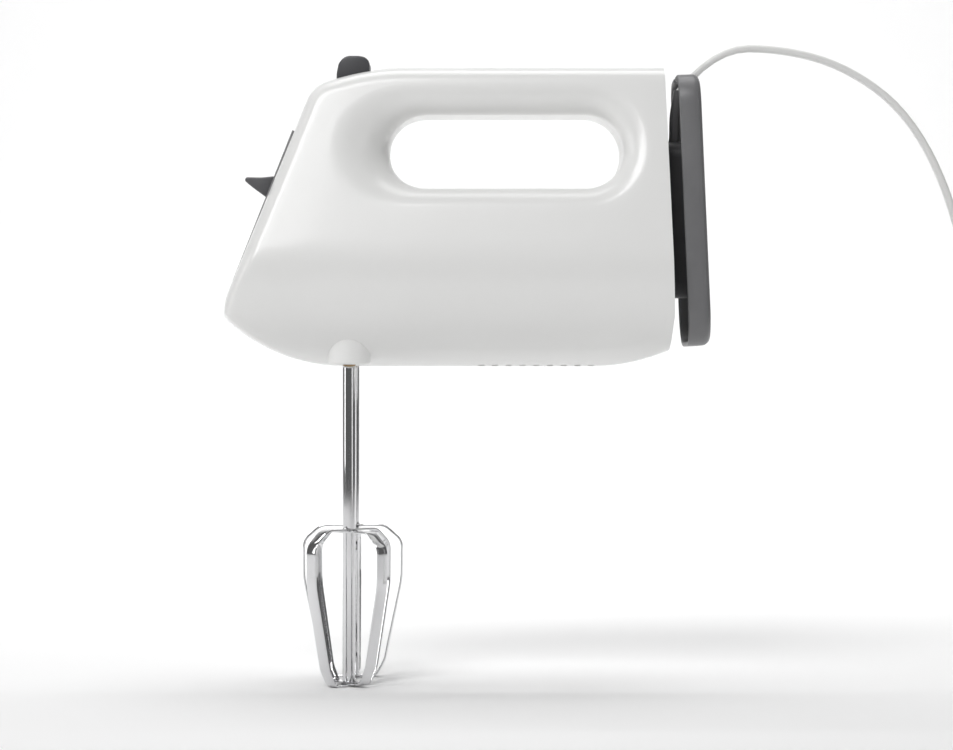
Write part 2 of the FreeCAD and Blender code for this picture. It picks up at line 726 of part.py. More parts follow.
def stator_core():
    """The laminated field: a yoke with an upper and a lower pole round the bore."""
    wide, high = S.stator_half_width, STATOR_HALF_HEIGHT
    length = S.core_length
    bore = S.rotor_radius + S.air_gap
    outer = Part.makeBox(length, 2 * wide, 2 * high, Vector(0, -wide, -high))
    outer = outer.makeFillet(6, [e for e in outer.Edges if e.BoundBox.XLength > length / 2])
    window = Part.makeBox(length, 2 * (wide - S.yoke), 2 * (high - S.yoke),
                          Vector(0, S.yoke - wide, S.yoke - high))
    along = Vector(1, 0, 0)
    neck = Part.makeBox(length, 2 * S.pole_half_width, 2 * high,
                        Vector(0, -S.pole_half_width, -high))
    shoes = Part.makeCylinder(bore + 1.8, length, Vector(), along).common(
        Part.makeBox(length, 2 * (S.pole_half_width + 4), 2 * high,
                     Vector(0, -S.pole_half_width - 4, -high)))
    core = outer.cut(window).fuse([neck.common(outer), shoes])
    core = core.cut(Part.makeCylinder(bore, length, Vector(), along))
    core = core.cut([Part.makeCylinder(S.hub_screw_radius, length,
                                       Vector(0, sign * STATOR_SCREW_Y, 0), along)
                     for side, sign in SIDES]).removeSplitter()
    core.translate(at_motor(MOTOR_FRONT))
    node(solid("stator_core", core), "stator_core")


def field_winding(label, sign):
    """A coil round one pole: outside its neck and clear of its shoe."""
    over = 5.5
    inner = S.pole_half_width + 0.3
    outer = S.stator_half_width - S.yoke - 0.5
    low = S.rotor_radius + S.air_gap + 0.2
    high = STATOR_HALF_HEIGHT - S.yoke - 0.3
    length = S.core_length
    coil = Part.makeBox(length + 2 * over, 2 * outer, high - low,
                        Vector(-over, -outer, low))
    coil = coil.makeFillet(5, [e for e in coil.Edges if e.BoundBox.ZLength > 1])
    hole = Part.makeBox(length + 0.6, 2 * inner, high, Vector(-0.3, -inner, low / 2))
    coil = coil.cut(hole)
    coil = coil.cut(Part.makeCylinder(S.rotor_radius + S.air_gap + 2.1, length + 0.6,
                                      Vector(-0.3, 0, 0), Vector(1, 0, 0)))
    if sign < 0:
        coil.rotate(Vector(), Vector(1, 0, 0), 180)
    coil.translate(at_motor(MOTOR_FRONT))
    node(solid(label, coil), label)


def rotor_core():
    """Twelve slots round a laminated drum."""
    label = "rotor_core"
    circle = Part.Circle(Vector(), Vector(0, 0, 1), S.rotor_radius)
    bore = Part.Circle(Vector(), Vector(0, 0, 1), S.shaft_radius)
    body = slab(label, [circle, bore], "core_length")
    doc.recompute()
    slot = polygon([(S.rotor_radius - 5, -1.4), (S.rotor_radius + 1, -0.9),
                    (S.rotor_radius + 1, 0.9), (S.rotor_radius - 5, 1.4)])
    outline = sketch(body, "XY_Plane", slot)
    pocket = body.newObject("PartDesign::Pocket", "slot")
    pocket.Profile = outline
    pocket.Midplane = True
    pocket.Type = "ThroughAll"
    doc.recompute()
    pattern = body.newObject("PartDesign::PolarPattern", "slots")
    pattern.Originals = [pocket]
    pattern.Axis = (outline, ["N_Axis"])
    pattern.Angle = 360
    pattern.Occurrences = 12
    body.Tip = pattern
    body.Placement = Placement(at_motor((MOTOR_FRONT + MOTOR_REAR) / 2), ALONG_X)
    node(body, label)


def rotor_windings():
    """End turns at both ends of the drum, joined by the wire in the slots."""
    length = S.core_length
    along = Vector(1, 0, 0)
    ring_outer, ring_inner = S.rotor_radius - 1.2, S.shaft_radius + 1
    pieces = []
    for start in (-6, length):
        ring = Part.makeCylinder(ring_outer, 6, Vector(start, 0, 0), along)
        ring = ring.cut(Part.makeCylinder(ring_inner, 6, Vector(start, 0, 0), along))
        pieces.append(ring)
    for index in range(12):
        bar = Part.makeBox(length, 1.6, 3.6, Vector(0, -0.8, S.rotor_radius - 4.9))
        bar.rotate(Vector(), along, 30 * index)
        pieces.append(bar)
    coil = pieces[0].fuse(pieces[1:]).removeSplitter()
    coil.translate(at_motor(MOTOR_FRONT))
    node(solid("rotor_windings", coil), "rotor_windings")


def commutator():
    along = Vector(1, 0, 0)
    drum = Part.makeCylinder(S.collector_radius, S.collector_length, Vector(), along)
    drum = drum.cut(Part.makeCylinder(S.shaft_radius, S.collector_length, Vector(), along))
    slits = []
    for index in range(12):
        slit = Part.makeBox(S.collector_length, 0.5, 2,
                            Vector(0, -0.25, S.collector_radius - 1))
        slit.rotate(Vector(), along, 15 + 30 * index)
        slits.append(slit)
    drum = drum.cut(slits)
    drum.translate(at_motor(MOTOR_REAR + S.collector_gap))
    node(solid("commutator", drum), "commutator")


def fan():
    """Nine blades between a hub and a backing disc."""
    along = Vector(1, 0, 0)
    length = S.fan_length
    hub = Part.makeCylinder(6, length, Vector(), along)
    disc = Part.makeCylinder(S.fan_radius, 1.4, Vector(), along)
    blades = []
    for index in range(9):
        blade = Part.makeBox(length, 1.2, S.fan_radius - 5, Vector(0, -0.6, 5))
        blade.rotate(Vector(0, 0, 5), along, 20)
        blade = blade.common(Part.makeCylinder(S.fan_radius, length, Vector(), along))
        blade.rotate(Vector(), along, 40 * index)
        blades.append(blade)
    wheel = disc.fuse([hub] + blades).removeSplitter()
    wheel = wheel.cut(Part.makeCylinder(S.shaft_radius, length, Vector(), along))
    wheel.translate(at_motor(MOTOR_FRONT - 8.5 - length))
    node(solid("cooling_fan", wheel), "cooling_fan")


BRUSH_X = MOTOR_REAR + S.collector_gap + S.collector_length / 2
BRACKET_X = MOTOR_REAR + S.bracket_reach


BRIDGE_THICK = 4


def rear_bracket():
    """A bridge behind the motor: it holds the rear bearing and the brush holders."""
    x, z = str(MOTOR_REAR), "-motor_depth - 7"
    plate = block("bridge", (str(BRACKET_X), "-stator_half_width + 0.5", z),
                  (str(BRIDGE_THICK), "2 * stator_half_width - 1", "14"))
    arms = [block("arm_" + side, (x, "%d * (stator_half_width - 2.75) - 2.25" % sign, z),
                  (str(BRACKET_X - MOTOR_REAR), "4.5", "14")) for side, sign in SIDES]
    boss = cylinder("bearing_boss", "bearing_radius + 2.5", "8",
                    (str(BRACKET_X - 1), "0", "-motor_depth"), ALONG_X)
    holes = [cylinder("rear_seat", "bearing_radius", "20",
                      (str(BRACKET_X + 1), "0", "-motor_depth"), ALONG_X),
             cylinder("rear_shaft_hole", "shaft_radius + 1", "20",
                      (str(BRACKET_X - 5), "0", "-motor_depth"), ALONG_X)]
    holes += [cylinder("rod_hole", "hub_screw_radius", "60",
                       (x, str(sign * STATOR_SCREW_Y), "-motor_depth"), ALONG_X)
              for side, sign in SIDES]
    node(cut("motor_bracket", join("bridge_walls", [plate, boss] + arms), holes),
         "motor_bracket")


def motor_screws():
    screws = []
    for side, sign in SIDES:
        start = Vector(MOTOR_FRONT + 6, sign * STATOR_SCREW_Y, -S.motor_depth)
        seat = Vector(BRACKET_X + BRIDGE_THICK, start.y, start.z)
        along = Vector(1, 0, 0)
        stem = Part.makeCylinder(S.hub_screw_radius, seat.x - start.x, start, along)
        head = Part.makeCylinder(S.screw_head_radius, 2.2, seat, along)
        screws.append(stem.fuse(head).removeSplitter())
    node(solid("motor_screws", Part.Compound(screws)), "motor_screws")


def brush_gear(side, sign):
    """A carbon brush on the commutator, its brass guide and the spring behind it."""
    start = S.collector_radius
    end = S.stator_half_width - 5
    mid = Vector(BRUSH_X, 0, -S.motor_depth)

    def bar(half_x, half_z, low, high):
        shape = Part.makeBox(2 * half_x, high - low, 2 * half_z,
                             mid + Vector(-half_x, low, -half_z))
        if sign < 0:
            shape.rotate(mid, Vector(0, 0, 1), 180)
        return shape

    brush_length, cap = 7, 0.8
    brush = bar(2.5, 3, start + 0.02, start + brush_length)
    guide = bar(3.4, 3.9, start + 1.5, end).cut(bar(2.6, 3.1, start, end - cap))
    node(solid("brush_" + side, brush), "brush_" + side)
    node(solid("brush_guide_" + side, guide), "brush_guide_" + side)
    wire, end_gap = 0.3, 0.05
    room = end - cap - (start + brush_length) - 2 * (wire + end_gap)
    spring = coil_spring(wire, 1.9, room, 3)
    spring.rotate(Vector(), Vector(1, 0, 0), -90 * sign)
    spring.translate(mid + Vector(0, sign * (start + brush_length + wire + end_gap), 0))
    node(solid("brush_spring_" + side, spring), "brush_spring_" + side)


# ---------------------------------------------------------------- beaters

def beater(side, sign, first_turn):
    """A plain rod with drive lugs, and two crossed loops of flat wire."""
    at = Vector(GEAR_X, sign * SPINDLE_Y, 0)
    low = -S.tip_depth + 2 * S.wire_thickness
    top = -(S.arm_depth + S.arm_thickness + S.button_travel + S.eject_gap)
    profile = [(0, top), (S.rod_radius - 0.8, top), (S.rod_radius, top - 1.2),
               (S.rod_radius, low), (0, low)]
    turned("beater_rod_" + side, profile, at)
    for index, name in enumerate("ab"):
        wire = loop_strip(index * S.wire_thickness)
        bore = Part.makeCylinder(S.rod_radius, S.tip_depth - S.head_top + 40,
                                 Vector(0, 0, -S.tip_depth + 1.5))
        wire = wire.cut(bore).removeSplitter()
        wire.rotate(Vector(), Vector(0, 0, 1), first_turn + 90 * index)
        wire.translate(at)
        node(solid("beater_loop_%s_%s" % (side, name), wire), "beater_loop_%s_%s" % (side, name))


def loop_strip(inset):
    """One closed loop of flat wire; the second one nests inside the first."""
    half = S.head_radius
    top, tip = -S.head_top, -S.tip_depth
    corners = [(-10.2, tip, 4), (-14.6, tip + 7.5, 12), (-half + 0.1, tip + 44, 30),
               (-half, top - 7, 7), (-half + 8, top, 7),
               (half - 8, top, 7), (half, top - 7, 7), (half - 0.1, tip + 44, 30),
               (14.6, tip + 7.5, 12), (10.2, tip, 4)]
    outer = rounded_face(corners, in_side_view)
    if inset:
        outer = outer.makeOffset2D(-inset)
    inner = outer.makeOffset2D(-S.wire_thickness)
    strip = outer.cut(inner)
    strip.translate(Vector(0, -S.wire_width / 2, 0))
    return strip.extrude(Vector(0, S.wire_width, 0))


# ---------------------------------------------------------------- cord store

FLANGE_TILT = Rotation(Vector(0, 1, 0), -S.flange_lean)


def flange_corners(inset):
    top, bottom = S.flange_top - inset, -S.flange_bottom + inset
    narrow, wide = S.flange_top_half_width - inset, S.flange_bottom_half_width - inset
    return [(-narrow, top, 13 - inset), (narrow, top, 13 - inset),
            (wide, bottom, 16 - inset), (-wide, bottom, 16 - inset)]


def flange_place():
    """The dish leans with the housing's rear face, a cord's width behind it."""
    return Placement(Vector(S.body_rear + S.flange_gap, 0, 0), FLANGE_TILT)


REAR_HEIGHT = S.body_top + S.body_depth - S.rear_high


def rear_face_x(z):
    """The housing's rear face at a height below its top."""
    return S.body_rear + S.rear_out * (S.body_top - z) / REAR_HEIGHT


def cord_hub():
    """The post that the cord is wound on, between the housing and the dish."""
    high, low = -S.hub_top, -S.hub_bottom
    width = S.hub_half_width
    face = rounded_face([(-width, high, 7), (width, high, 7), (width, low, 7),
                         (-width, low, 7)], in_rear_view)
    post = face.extrude(Vector(30, 0, 0))
    post.translate(Vector(S.body_rear - 12, 0, 0))
    back = Part.makeBox(60, 200, 400, Vector(-60, -100, -300))
    rear = Vector(rear_face_x(0), 0, 0)
    lean = math.degrees(math.atan(S.rear_out / REAR_HEIGHT))
    back.Placement = Placement(rear, Rotation(Vector(0, 1, 0), -lean))
    past = Part.makeBox(60, 200, 400, Vector(S.flange_depth - S.flange_wall, -100, -300))
    past.Placement = flange_place()
    post = post.cut([back, past])
    groove = Part.makeBox(40, 2 * S.notch_half_width, 12,
                          Vector(S.body_rear - 10, -S.notch_half_width, high - 9))
    post = post.cut(groove)
    post = post.cut([Part.makeCylinder(S.hub_screw_radius, 40, Vector(S.body_rear, 0, z),
                                       Vector(1, 0, 0)) for z in HUB_SCREWS])
    node(solid("cord_hub", post), "cord_hub")


def cord_flange():
    outer = rounded_face(flange_corners(0), in_rear_view).extrude(Vector(S.flange_depth, 0, 0))
    rims = [e for e in outer.Edges if e.BoundBox.XMin > S.flange_depth - 0.01]
    outer = outer.makeFillet(3, rims)
    inner = rounded_face(flange_corners(S.flange_wall), in_rear_view).extrude(
        Vector(S.flange_depth - S.flange_wall, 0, 0))
    notch = Part.makeBox(S.flange_depth + 2, 2 * S.notch_half_width, 30,
                         Vector(-1, -S.notch_half_width, S.flange_top - 8.5))
    dish = outer.cut([inner, notch])
    dish.Placement = flange_place()
    screws = [Part.makeCylinder(S.hub_screw_radius, 60, Vector(S.body_rear - 5, 0, z),
                                Vector(1, 0, 0)) for z in HUB_SCREWS]
    node(solid("cord_flange", dish.cut(screws)), "cord_flange")


def hub_screws():
    """Two screws from inside the housing through the hub into the dish."""
    screws = []
    for z in HUB_SCREWS:
        start = rear_face_x(z) - S.wall - 0.2
        end = S.body_rear + S.flange_gap + S.flange_depth - 1 - z * 0.04
        along = Vector(1, 0, 0)
        stem = Part.makeCylinder(S.hub_screw_radius, end - start - 0.6, Vector(start, 0, z),
                                 along)
        head = Part.makeCylinder(S.hub_screw_radius + 1.4, 2, Vector(start - 2, 0, z), along)
        screws.append(stem.fuse(head).removeSplitter())
    node(solid("hub_screws", Part.Compound(screws)), "hub_screws")


# ---------------------------------------------------------------- cord

FLOOR = -S.tip_depth
CORD_LOW = FLOOR + S.cord_radius
COIL_X = 262
OUTER_TURN = S.ring_radius + S.cord_radius
COIL_INNER = S.ring_radius - 2 * S.cord_radius
COIL_OUTER = S.ring_radius + 2 * S.cord_radius
COIL_HIGH = 4 * S.cord_radius
CORD_LEAD = [(76, 0, 0.5), (93, 0, 18.6), (122, 0, 19.8), (150, 0, 12), (177, 0, -8),
             (196, 0, -44), (206, 0, -92), (206, -4, -142), (204, -12, -190),
             (207, -22, -224), (219, -30, -246), (240, -32.5, CORD_LOW + 0.4),
             (COIL_X, -OUTER_TURN, CORD_LOW)]
CORD_TAIL = [(COIL_X, -OUTER_TURN, CORD_LOW + 2 * S.cord_radius),
             (289, -OUTER_TURN, CORD_LOW + 1.5), (314, -22, FLOOR + S.plug_thickness / 2),
             (338, -22, FLOOR + S.plug_thickness / 2)]
SECTION = math.pi * S.cord_radius ** 2


def cord_tube(label, points):
    shape, length, radii = tube_along([Vector(*p) for p in points], S.cord_radius)
    node(solid(label, shape), label)
    print(label, "length", round(length, 1), "radii", [round(r) for r in radii],
          "volume/section*length", round(shape.Volume / (SECTION * length), 4))
    return length


def cord():
    lead = cord_tube("cord", CORD_LEAD)
    tail = cord_tube("cord_tail", CORD_TAIL)
    inner, outer, high = COIL_INNER, COIL_OUTER, COIL_HIGH
    turns = 4 * 2 * math.pi * S.ring_radius
    print("cord total", round(lead + tail + turns, 1))
    bevel = 1.5
    profile = [(inner, FLOOR + bevel), (inner + bevel, FLOOR), (outer - bevel, FLOOR),
               (outer, FLOOR + bevel), (outer, FLOOR + high - bevel),
               (outer - bevel, FLOOR + high), (inner + bevel, FLOOR + high),
               (inner, FLOOR + high - bevel)]
    turned("cord_coil", profile, Vector(COIL_X, 0, 0))


def cord_tie():
    """A flat tie round the coil's section, on its far side."""
    gap, thick, width = S.part_gap, 1.2, 7
    across = COIL_OUTER - COIL_INNER
    hole = Part.makeBox(across + 2 * gap, width, COIL_HIGH + gap,
                        Vector(COIL_INNER - gap, -width / 2, FLOOR - gap / 2))
    band = Part.makeBox(across + 2 * (gap + thick), width, COIL_HIGH + gap + thick,
                        Vector(COIL_INNER - gap - thick, -width / 2, FLOOR))
    tie = band.cut(hole)
    tie.rotate(Vector(), Vector(0, 0, 1), 90)
    tie.translate(Vector(COIL_X, 0, 0))
    node(solid("cord_tie", tie), "cord_tie")


def strain_relief():
    """A flat ribbed sleeve that turns the cord up between housing and dish."""
    path = [Vector(66, 0, -26.2), Vector(73.4, 0, -24.5), Vector(74, 0, -11),
            Vector(*CORD_LEAD[0])]
    shape, length, radii = tube_along(path, S.cord_radius + 0.45)
    node(solid("strain_relief", shape), "strain_relief")


PLUG_START = Vector(*CORD_TAIL[-1])


def plug():
    """A flat two-pin plug with a ribbed tail, lying beside the coil."""
    tail_length, body_length = 24, 22
    tail = Part.makeCone(S.cord_radius + 0.6, S.cord_radius + 2, tail_length, PLUG_START,
                         Vector(1, 0, 0))
    half, thick = S.plug_width / 2, S.plug_thickness / 2
    start = tail_length
    face = rounded_face([(start, -6, 3), (start + 9, -half, 5), (start + body_length, -half, 3),
                         (start + body_length, half, 3), (start + 9, half, 5), (start, 6, 3)],
                        lambda spot: Vector(spot.x, spot.y, -thick))
    body = face.extrude(Vector(0, 0, 2 * thick))
    body = body.makeFillet(2.2, [e for e in body.Edges if e.BoundBox.ZLength < 0.01])
    body.translate(PLUG_START)
    node(solid("plug_body", body.fuse(tail).removeSplitter()), "plug_body")
    pins = []
    for side, sign in SIDES:
        base = PLUG_START + Vector(start + body_length, sign * S.pin_spacing / 2, 0)
        pin = Part.makeCylinder(S.pin_radius, S.pin_length, base, Vector(1, 0, 0))
        tip = [e for e in pin.Edges if e.BoundBox.XMin > base.x + S.pin_length - 0.01]
        pins.append(pin.makeFillet(1.2, tip))
    node(solid("plug_pins", Part.Compound(pins)), "plug_pins")


def inner_leads():
    """The two mains leads, from the strain relief through the grip to the switch."""
    leads = []
    for side, sign in SIDES:
        y = sign * 3.2
        route = [Vector(*p) for p in (
            (65.2, y * 0.4, -26.2), (59, y * 0.7, -24), (56, y, -11), (46, y, -4),
            (12, y, -3), (-24, y, -3.5), (-56, sign * 5.4, -6.4))]
        route += [SLOPE.multVec(Vector(*p)) for p in (
            (-41, -sign * 5.7, -12.5), (-28.2, -sign * 5.2, -12.8),
            (-14.9, -sign * 4.6, -15.9))]
        shape, length, radii = tube_along(route, 1.1)
        leads.append(shape)
    node(solid("inner_leads", Part.Compound(leads)), "inner_leads")


# ---------------------------------------------------------------- assembly

housing_halves()
housing_screws()
control_panel()
speed_lever()
speed_switch()
control_board()
eject_button()
eject_bar()
eject_spring()
gearbox_frame()
frame_screws()
worm_shaft()
for side, sign in SIDES:
    worm_wheel(side, sign)
    spindle(side, sign)
    spindle_bush(side, sign)
    brush_gear(side, sign)
    beater(side, sign, 45 if sign < 0 else 0)
stator_core()
field_winding("field_winding_upper", 1)
field_winding("field_winding_lower", -1)
rotor_core()
rotor_windings()
commutator()
fan()
ring_part("front_bearing", S.shaft_radius + S.running_gap, S.bearing_radius,
          GEAR_X + 21, S.bearing_length)
ring_part("rear_bearing", S.shaft_radius + S.running_gap, S.bearing_radius,
          BRACKET_X + 1, S.bearing_length)
rear_bracket()
motor_screws()
cord_hub()
cord_flange()
hub_screws()
strain_relief()
inner_leads()
cord()
cord_tie()
plug()
doc.recompute()

faults = []
for thing in doc.Objects:
    if "Invalid" in thing.State or "Error" in thing.State:
        faults.append("%s is %s" % (thing.Label, thing.State))
for thing in nodes:
    if thing.Shape.isNull() or not thing.Shape.isValid() or not thing.Shape.Solids:
        faults.append("%s has no valid solid" % thing.Label)
if faults:
    raise RuntimeError("; ".join(faults))
os.makedirs("parts", exist_ok=True)
for thing in nodes:
    thing.Shape.exportStep("parts/%s.step" % thing.Label)
print(len(nodes), "nodes")
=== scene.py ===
import math

import bmesh
import bpy
from mathutils import Matrix, Vector


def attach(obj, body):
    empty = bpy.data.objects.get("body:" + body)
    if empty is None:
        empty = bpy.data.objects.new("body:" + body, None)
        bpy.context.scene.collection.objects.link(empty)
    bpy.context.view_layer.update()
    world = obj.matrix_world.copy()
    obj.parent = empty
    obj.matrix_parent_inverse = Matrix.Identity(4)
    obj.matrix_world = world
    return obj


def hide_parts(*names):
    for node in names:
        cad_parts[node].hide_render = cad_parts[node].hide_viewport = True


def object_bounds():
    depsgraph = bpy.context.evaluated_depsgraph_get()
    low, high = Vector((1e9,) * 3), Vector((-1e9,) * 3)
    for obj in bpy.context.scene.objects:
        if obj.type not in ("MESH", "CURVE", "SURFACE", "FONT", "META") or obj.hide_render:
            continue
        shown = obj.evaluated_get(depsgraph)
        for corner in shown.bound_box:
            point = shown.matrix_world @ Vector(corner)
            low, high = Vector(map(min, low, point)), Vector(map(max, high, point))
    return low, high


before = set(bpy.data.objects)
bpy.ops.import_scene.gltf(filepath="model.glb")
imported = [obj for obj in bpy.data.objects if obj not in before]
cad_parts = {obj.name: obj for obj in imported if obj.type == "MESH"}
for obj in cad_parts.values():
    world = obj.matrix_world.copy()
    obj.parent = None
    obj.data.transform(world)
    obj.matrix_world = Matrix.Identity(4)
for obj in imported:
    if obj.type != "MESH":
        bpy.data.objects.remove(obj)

cad_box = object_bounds()
FLOOR = cad_box[0].z


# ------------------------------------------------------------------ studio
# A white sweep of paper under and behind the mixer, lit by large soft boxes.
# The camera stands level with the middle of the object, square to its left side.

def stage_paper():
    paper = bpy.data.materials.new("white_paper")
    paper.use_nodes = True
    tree = paper.node_tree
    shader = tree.nodes["Principled BSDF"]
    shader.inputs["Roughness"].default_value = 0.9
    shader.inputs["Specular IOR Level"].default_value = 0.1
    grain = tree.nodes.new("ShaderNodeTexNoise")
    grain.inputs["Scale"].default_value = 3
    tint = tree.nodes.new("ShaderNodeMix")
    tint.data_type = "RGBA"
    tint.inputs["A"].default_value = (0.93, 0.93, 0.93, 1)
    tint.inputs["B"].default_value = (0.95, 0.95, 0.95, 1)
    tree.links.new(grain.outputs["Fac"], tint.inputs["Factor"])
    tree.links.new(tint.outputs["Result"], shader.inputs["Base Color"])
    sweep = bmesh.new()
    near, wall, far, wide = -3.5, 1.6, 3.2, 7
    profile = [(near, FLOOR), (wall, FLOOR)]
    for step in range(1, 13):
        angle = math.radians(90 * step / 12)
        profile.append((wall + 1.2 * math.sin(angle), FLOOR + 1.2 * (1 - math.cos(angle))))
    profile.append((wall + 1.2, FLOOR + far))
    rows = [[sweep.verts.new((x, y, z)) for x in (-wide, wide)] for y, z in profile]
    for low, high in zip(rows, rows[1:]):
        sweep.faces.new((low[0], low[1], high[1], high[0])).smooth = True
    mesh = bpy.data.meshes.new("paper_sweep")
    sweep.to_mesh(mesh)
    floor = bpy.data.objects.new("paper_sweep", mesh)
    floor.data.materials.append(paper)
    bpy.context.scene.collection.objects.link(floor)


def soft_box(name, place, aim, size, power, tint=(1, 1, 1)):
    light = bpy.data.lights.new(name, "AREA")
    light.shape = "RECTANGLE"
    light.size, light.size_y = size
    light.energy = power
    light.color = tint
    box = bpy.data.objects.new(name, light)
    box.location = place
    box.rotation_euler = (Vector(aim) - Vector(place)).to_track_quat("-Z", "Y").to_euler()
    bpy.context.scene.collection.objects.link(box)


stage_paper()
middle = (-0.03, 0, -0.10)
soft_box("key_box", (-0.55, -1.30, 1.15), middle, (0.9, 0.7), 17)
soft_box("overhead_box", (0.05, 0.25, 1.25), middle, (1.0, 0.8), 7)
soft_box("left_box", (-1.5, -0.35, 0.35), middle, (0.5, 1.0), 3.5)
soft_box("right_box", (1.3, -0.9, 0.25), middle, (0.35, 1.0), 1.6)
soft_box("paper_wash", (0, 0.75, 1.3), (0, 2.2, 0.2), (2.8, 0.5), 40)

world = bpy.data.worlds.new("studio_air")
world.use_nodes = True
world.node_tree.nodes["Background"].inputs["Color"].default_value = (1, 1, 1, 1)
world.node_tree.nodes["Background"].inputs["Strength"].default_value = 0.12
bpy.context.scene.world = world
bpy.context.scene.view_settings.view_transform = "Standard"

camera = bpy.data.objects.new("camera", bpy.data.cameras.new("camera"))
camera.data.lens = 105
camera.data.sensor_width = 36
camera.location = (-0.0128, -1.2245, -0.1238)
camera.rotation_euler = (math.radians(90), 0, 0)
bpy.context.scene.collection.objects.link(camera)
bpy.context.scene.camera = camera


# ------------------------------------------------------------------ housing
# Two halves moulded in glossy white ABS, 2.4 mm thick, screwed together from the right.
# Each is crowned toward its rim, flared round the finger slot, and closed by a fine
# V at the parting line.

REAR_TOP = (0.0689, 0.0109)
REAR_LOW = (0.0721, -0.0990)
HEEL = (0.0706, -0.1133)
PAST_REAR = 0.090
OUTLINE = [(PAST_REAR, 0.0109, 0), (-0.0597, 0.0109, 0.105), (-0.0846, 0.0029, 0.015),
           (-0.1223, -0.0920, 0.024), (-0.1223, -0.0995, 0.0044), (-0.0980, -0.1199, 0.076),
           (0.0535, -0.1199, 0.084), (PAST_REAR, -0.1058, 0)]
WALL = 0.0024
SLOT_MID, SLOT_ROUND, SLOT_LOW = 0.0346, 0.0163, -0.0269
GEAR = -0.068
SPINDLE = 0.019
SCREWS = ((-0.0830, -0.0120), (-0.1060, -0.0940), (-0.0340, -0.1100), (0.0600, -0.1040),
          (0.0615, 0.0030))


def rounded_line(corners, spacing):
    """A closed line of even steps through corners (u, v, radius)."""
    dense = []
    for i, (u, v, radius) in enumerate(corners):
        here = Vector((u, v))
        before = (Vector(corners[i - 1][:2]) - here).normalized()
        after = (Vector(corners[(i + 1) % len(corners)][:2]) - here).normalized()
        if radius == 0:
            dense.append(here)
            continue
        half = before.angle(after) / 2
        centre = here + (before + after).normalized() * radius / math.sin(half)
        start, end = (here + way * radius / math.tan(half) for way in (before, after))
        for step in range(33):
            spot = start.lerp(end, step / 32) - centre
            dense.append(centre + spot.normalized() * radius)
    run = [0]
    for a, b in zip(dense, dense[1:] + dense[:1]):
        run.append(run[-1] + (b - a).length)
    count = round(run[-1] / spacing)
    even, k = [], 0
    for step in range(count):
        goal = run[-1] * step / count
        while run[k + 1] < goal:
            k += 1
        share = (goal - run[k]) / max(run[k + 1] - run[k], 1e-9)
        even.append(dense[k].lerp(dense[(k + 1) % len(dense)], share))
    return even


def inward(line, i):
    """The normal of a line that runs round its shape, pointing inside."""
    ahead = line[(i + 1) % len(line)] - line[i - 1]
    turn = Vector((-ahead.y, ahead.x)).normalized()
    area = sum(a.x * b.y - b.x * a.y for a, b in zip(line, line[1:] + line[:1]))
    return turn if area > 0 else -turn


def leaning_side(z):
    return 0.03864 - (z + 0.0701) * math.tan(math.radians(15))


def half_width(z):
    """Half the body's width at a height: leaning flats running into a round belly."""
    belly, centre = 0.040, -0.0805
    if z > -0.0701:
        return leaning_side(z)
    return math.sqrt(max(belly ** 2 - (z - centre) ** 2, 1e-8))


def rim_share(turn, z):
    """How much of the full width the crowned rim has reached at a turn of 0 to 1."""
    fullness, blend = 2.7, 6
    reach = math.sin(turn * math.pi / 2) ** (2 / fullness)
    belly = min(half_width(z) / max(leaning_side(z), half_width(z)), 1)
    q = reach / belly
    return q * belly * ((1 + belly ** -blend) / (1 + q ** blend)) ** (1 / blend)


def flare_width(way):
    """The flare is widest ahead of the slot and narrowest below it."""
    ahead, up = max(-way.x, 0), way.y
    base = 0.0105 + 0.003 * max(up, 0) - 0.0015 * max(-up, 0)
    return base + 0.0135 * ahead ** 2


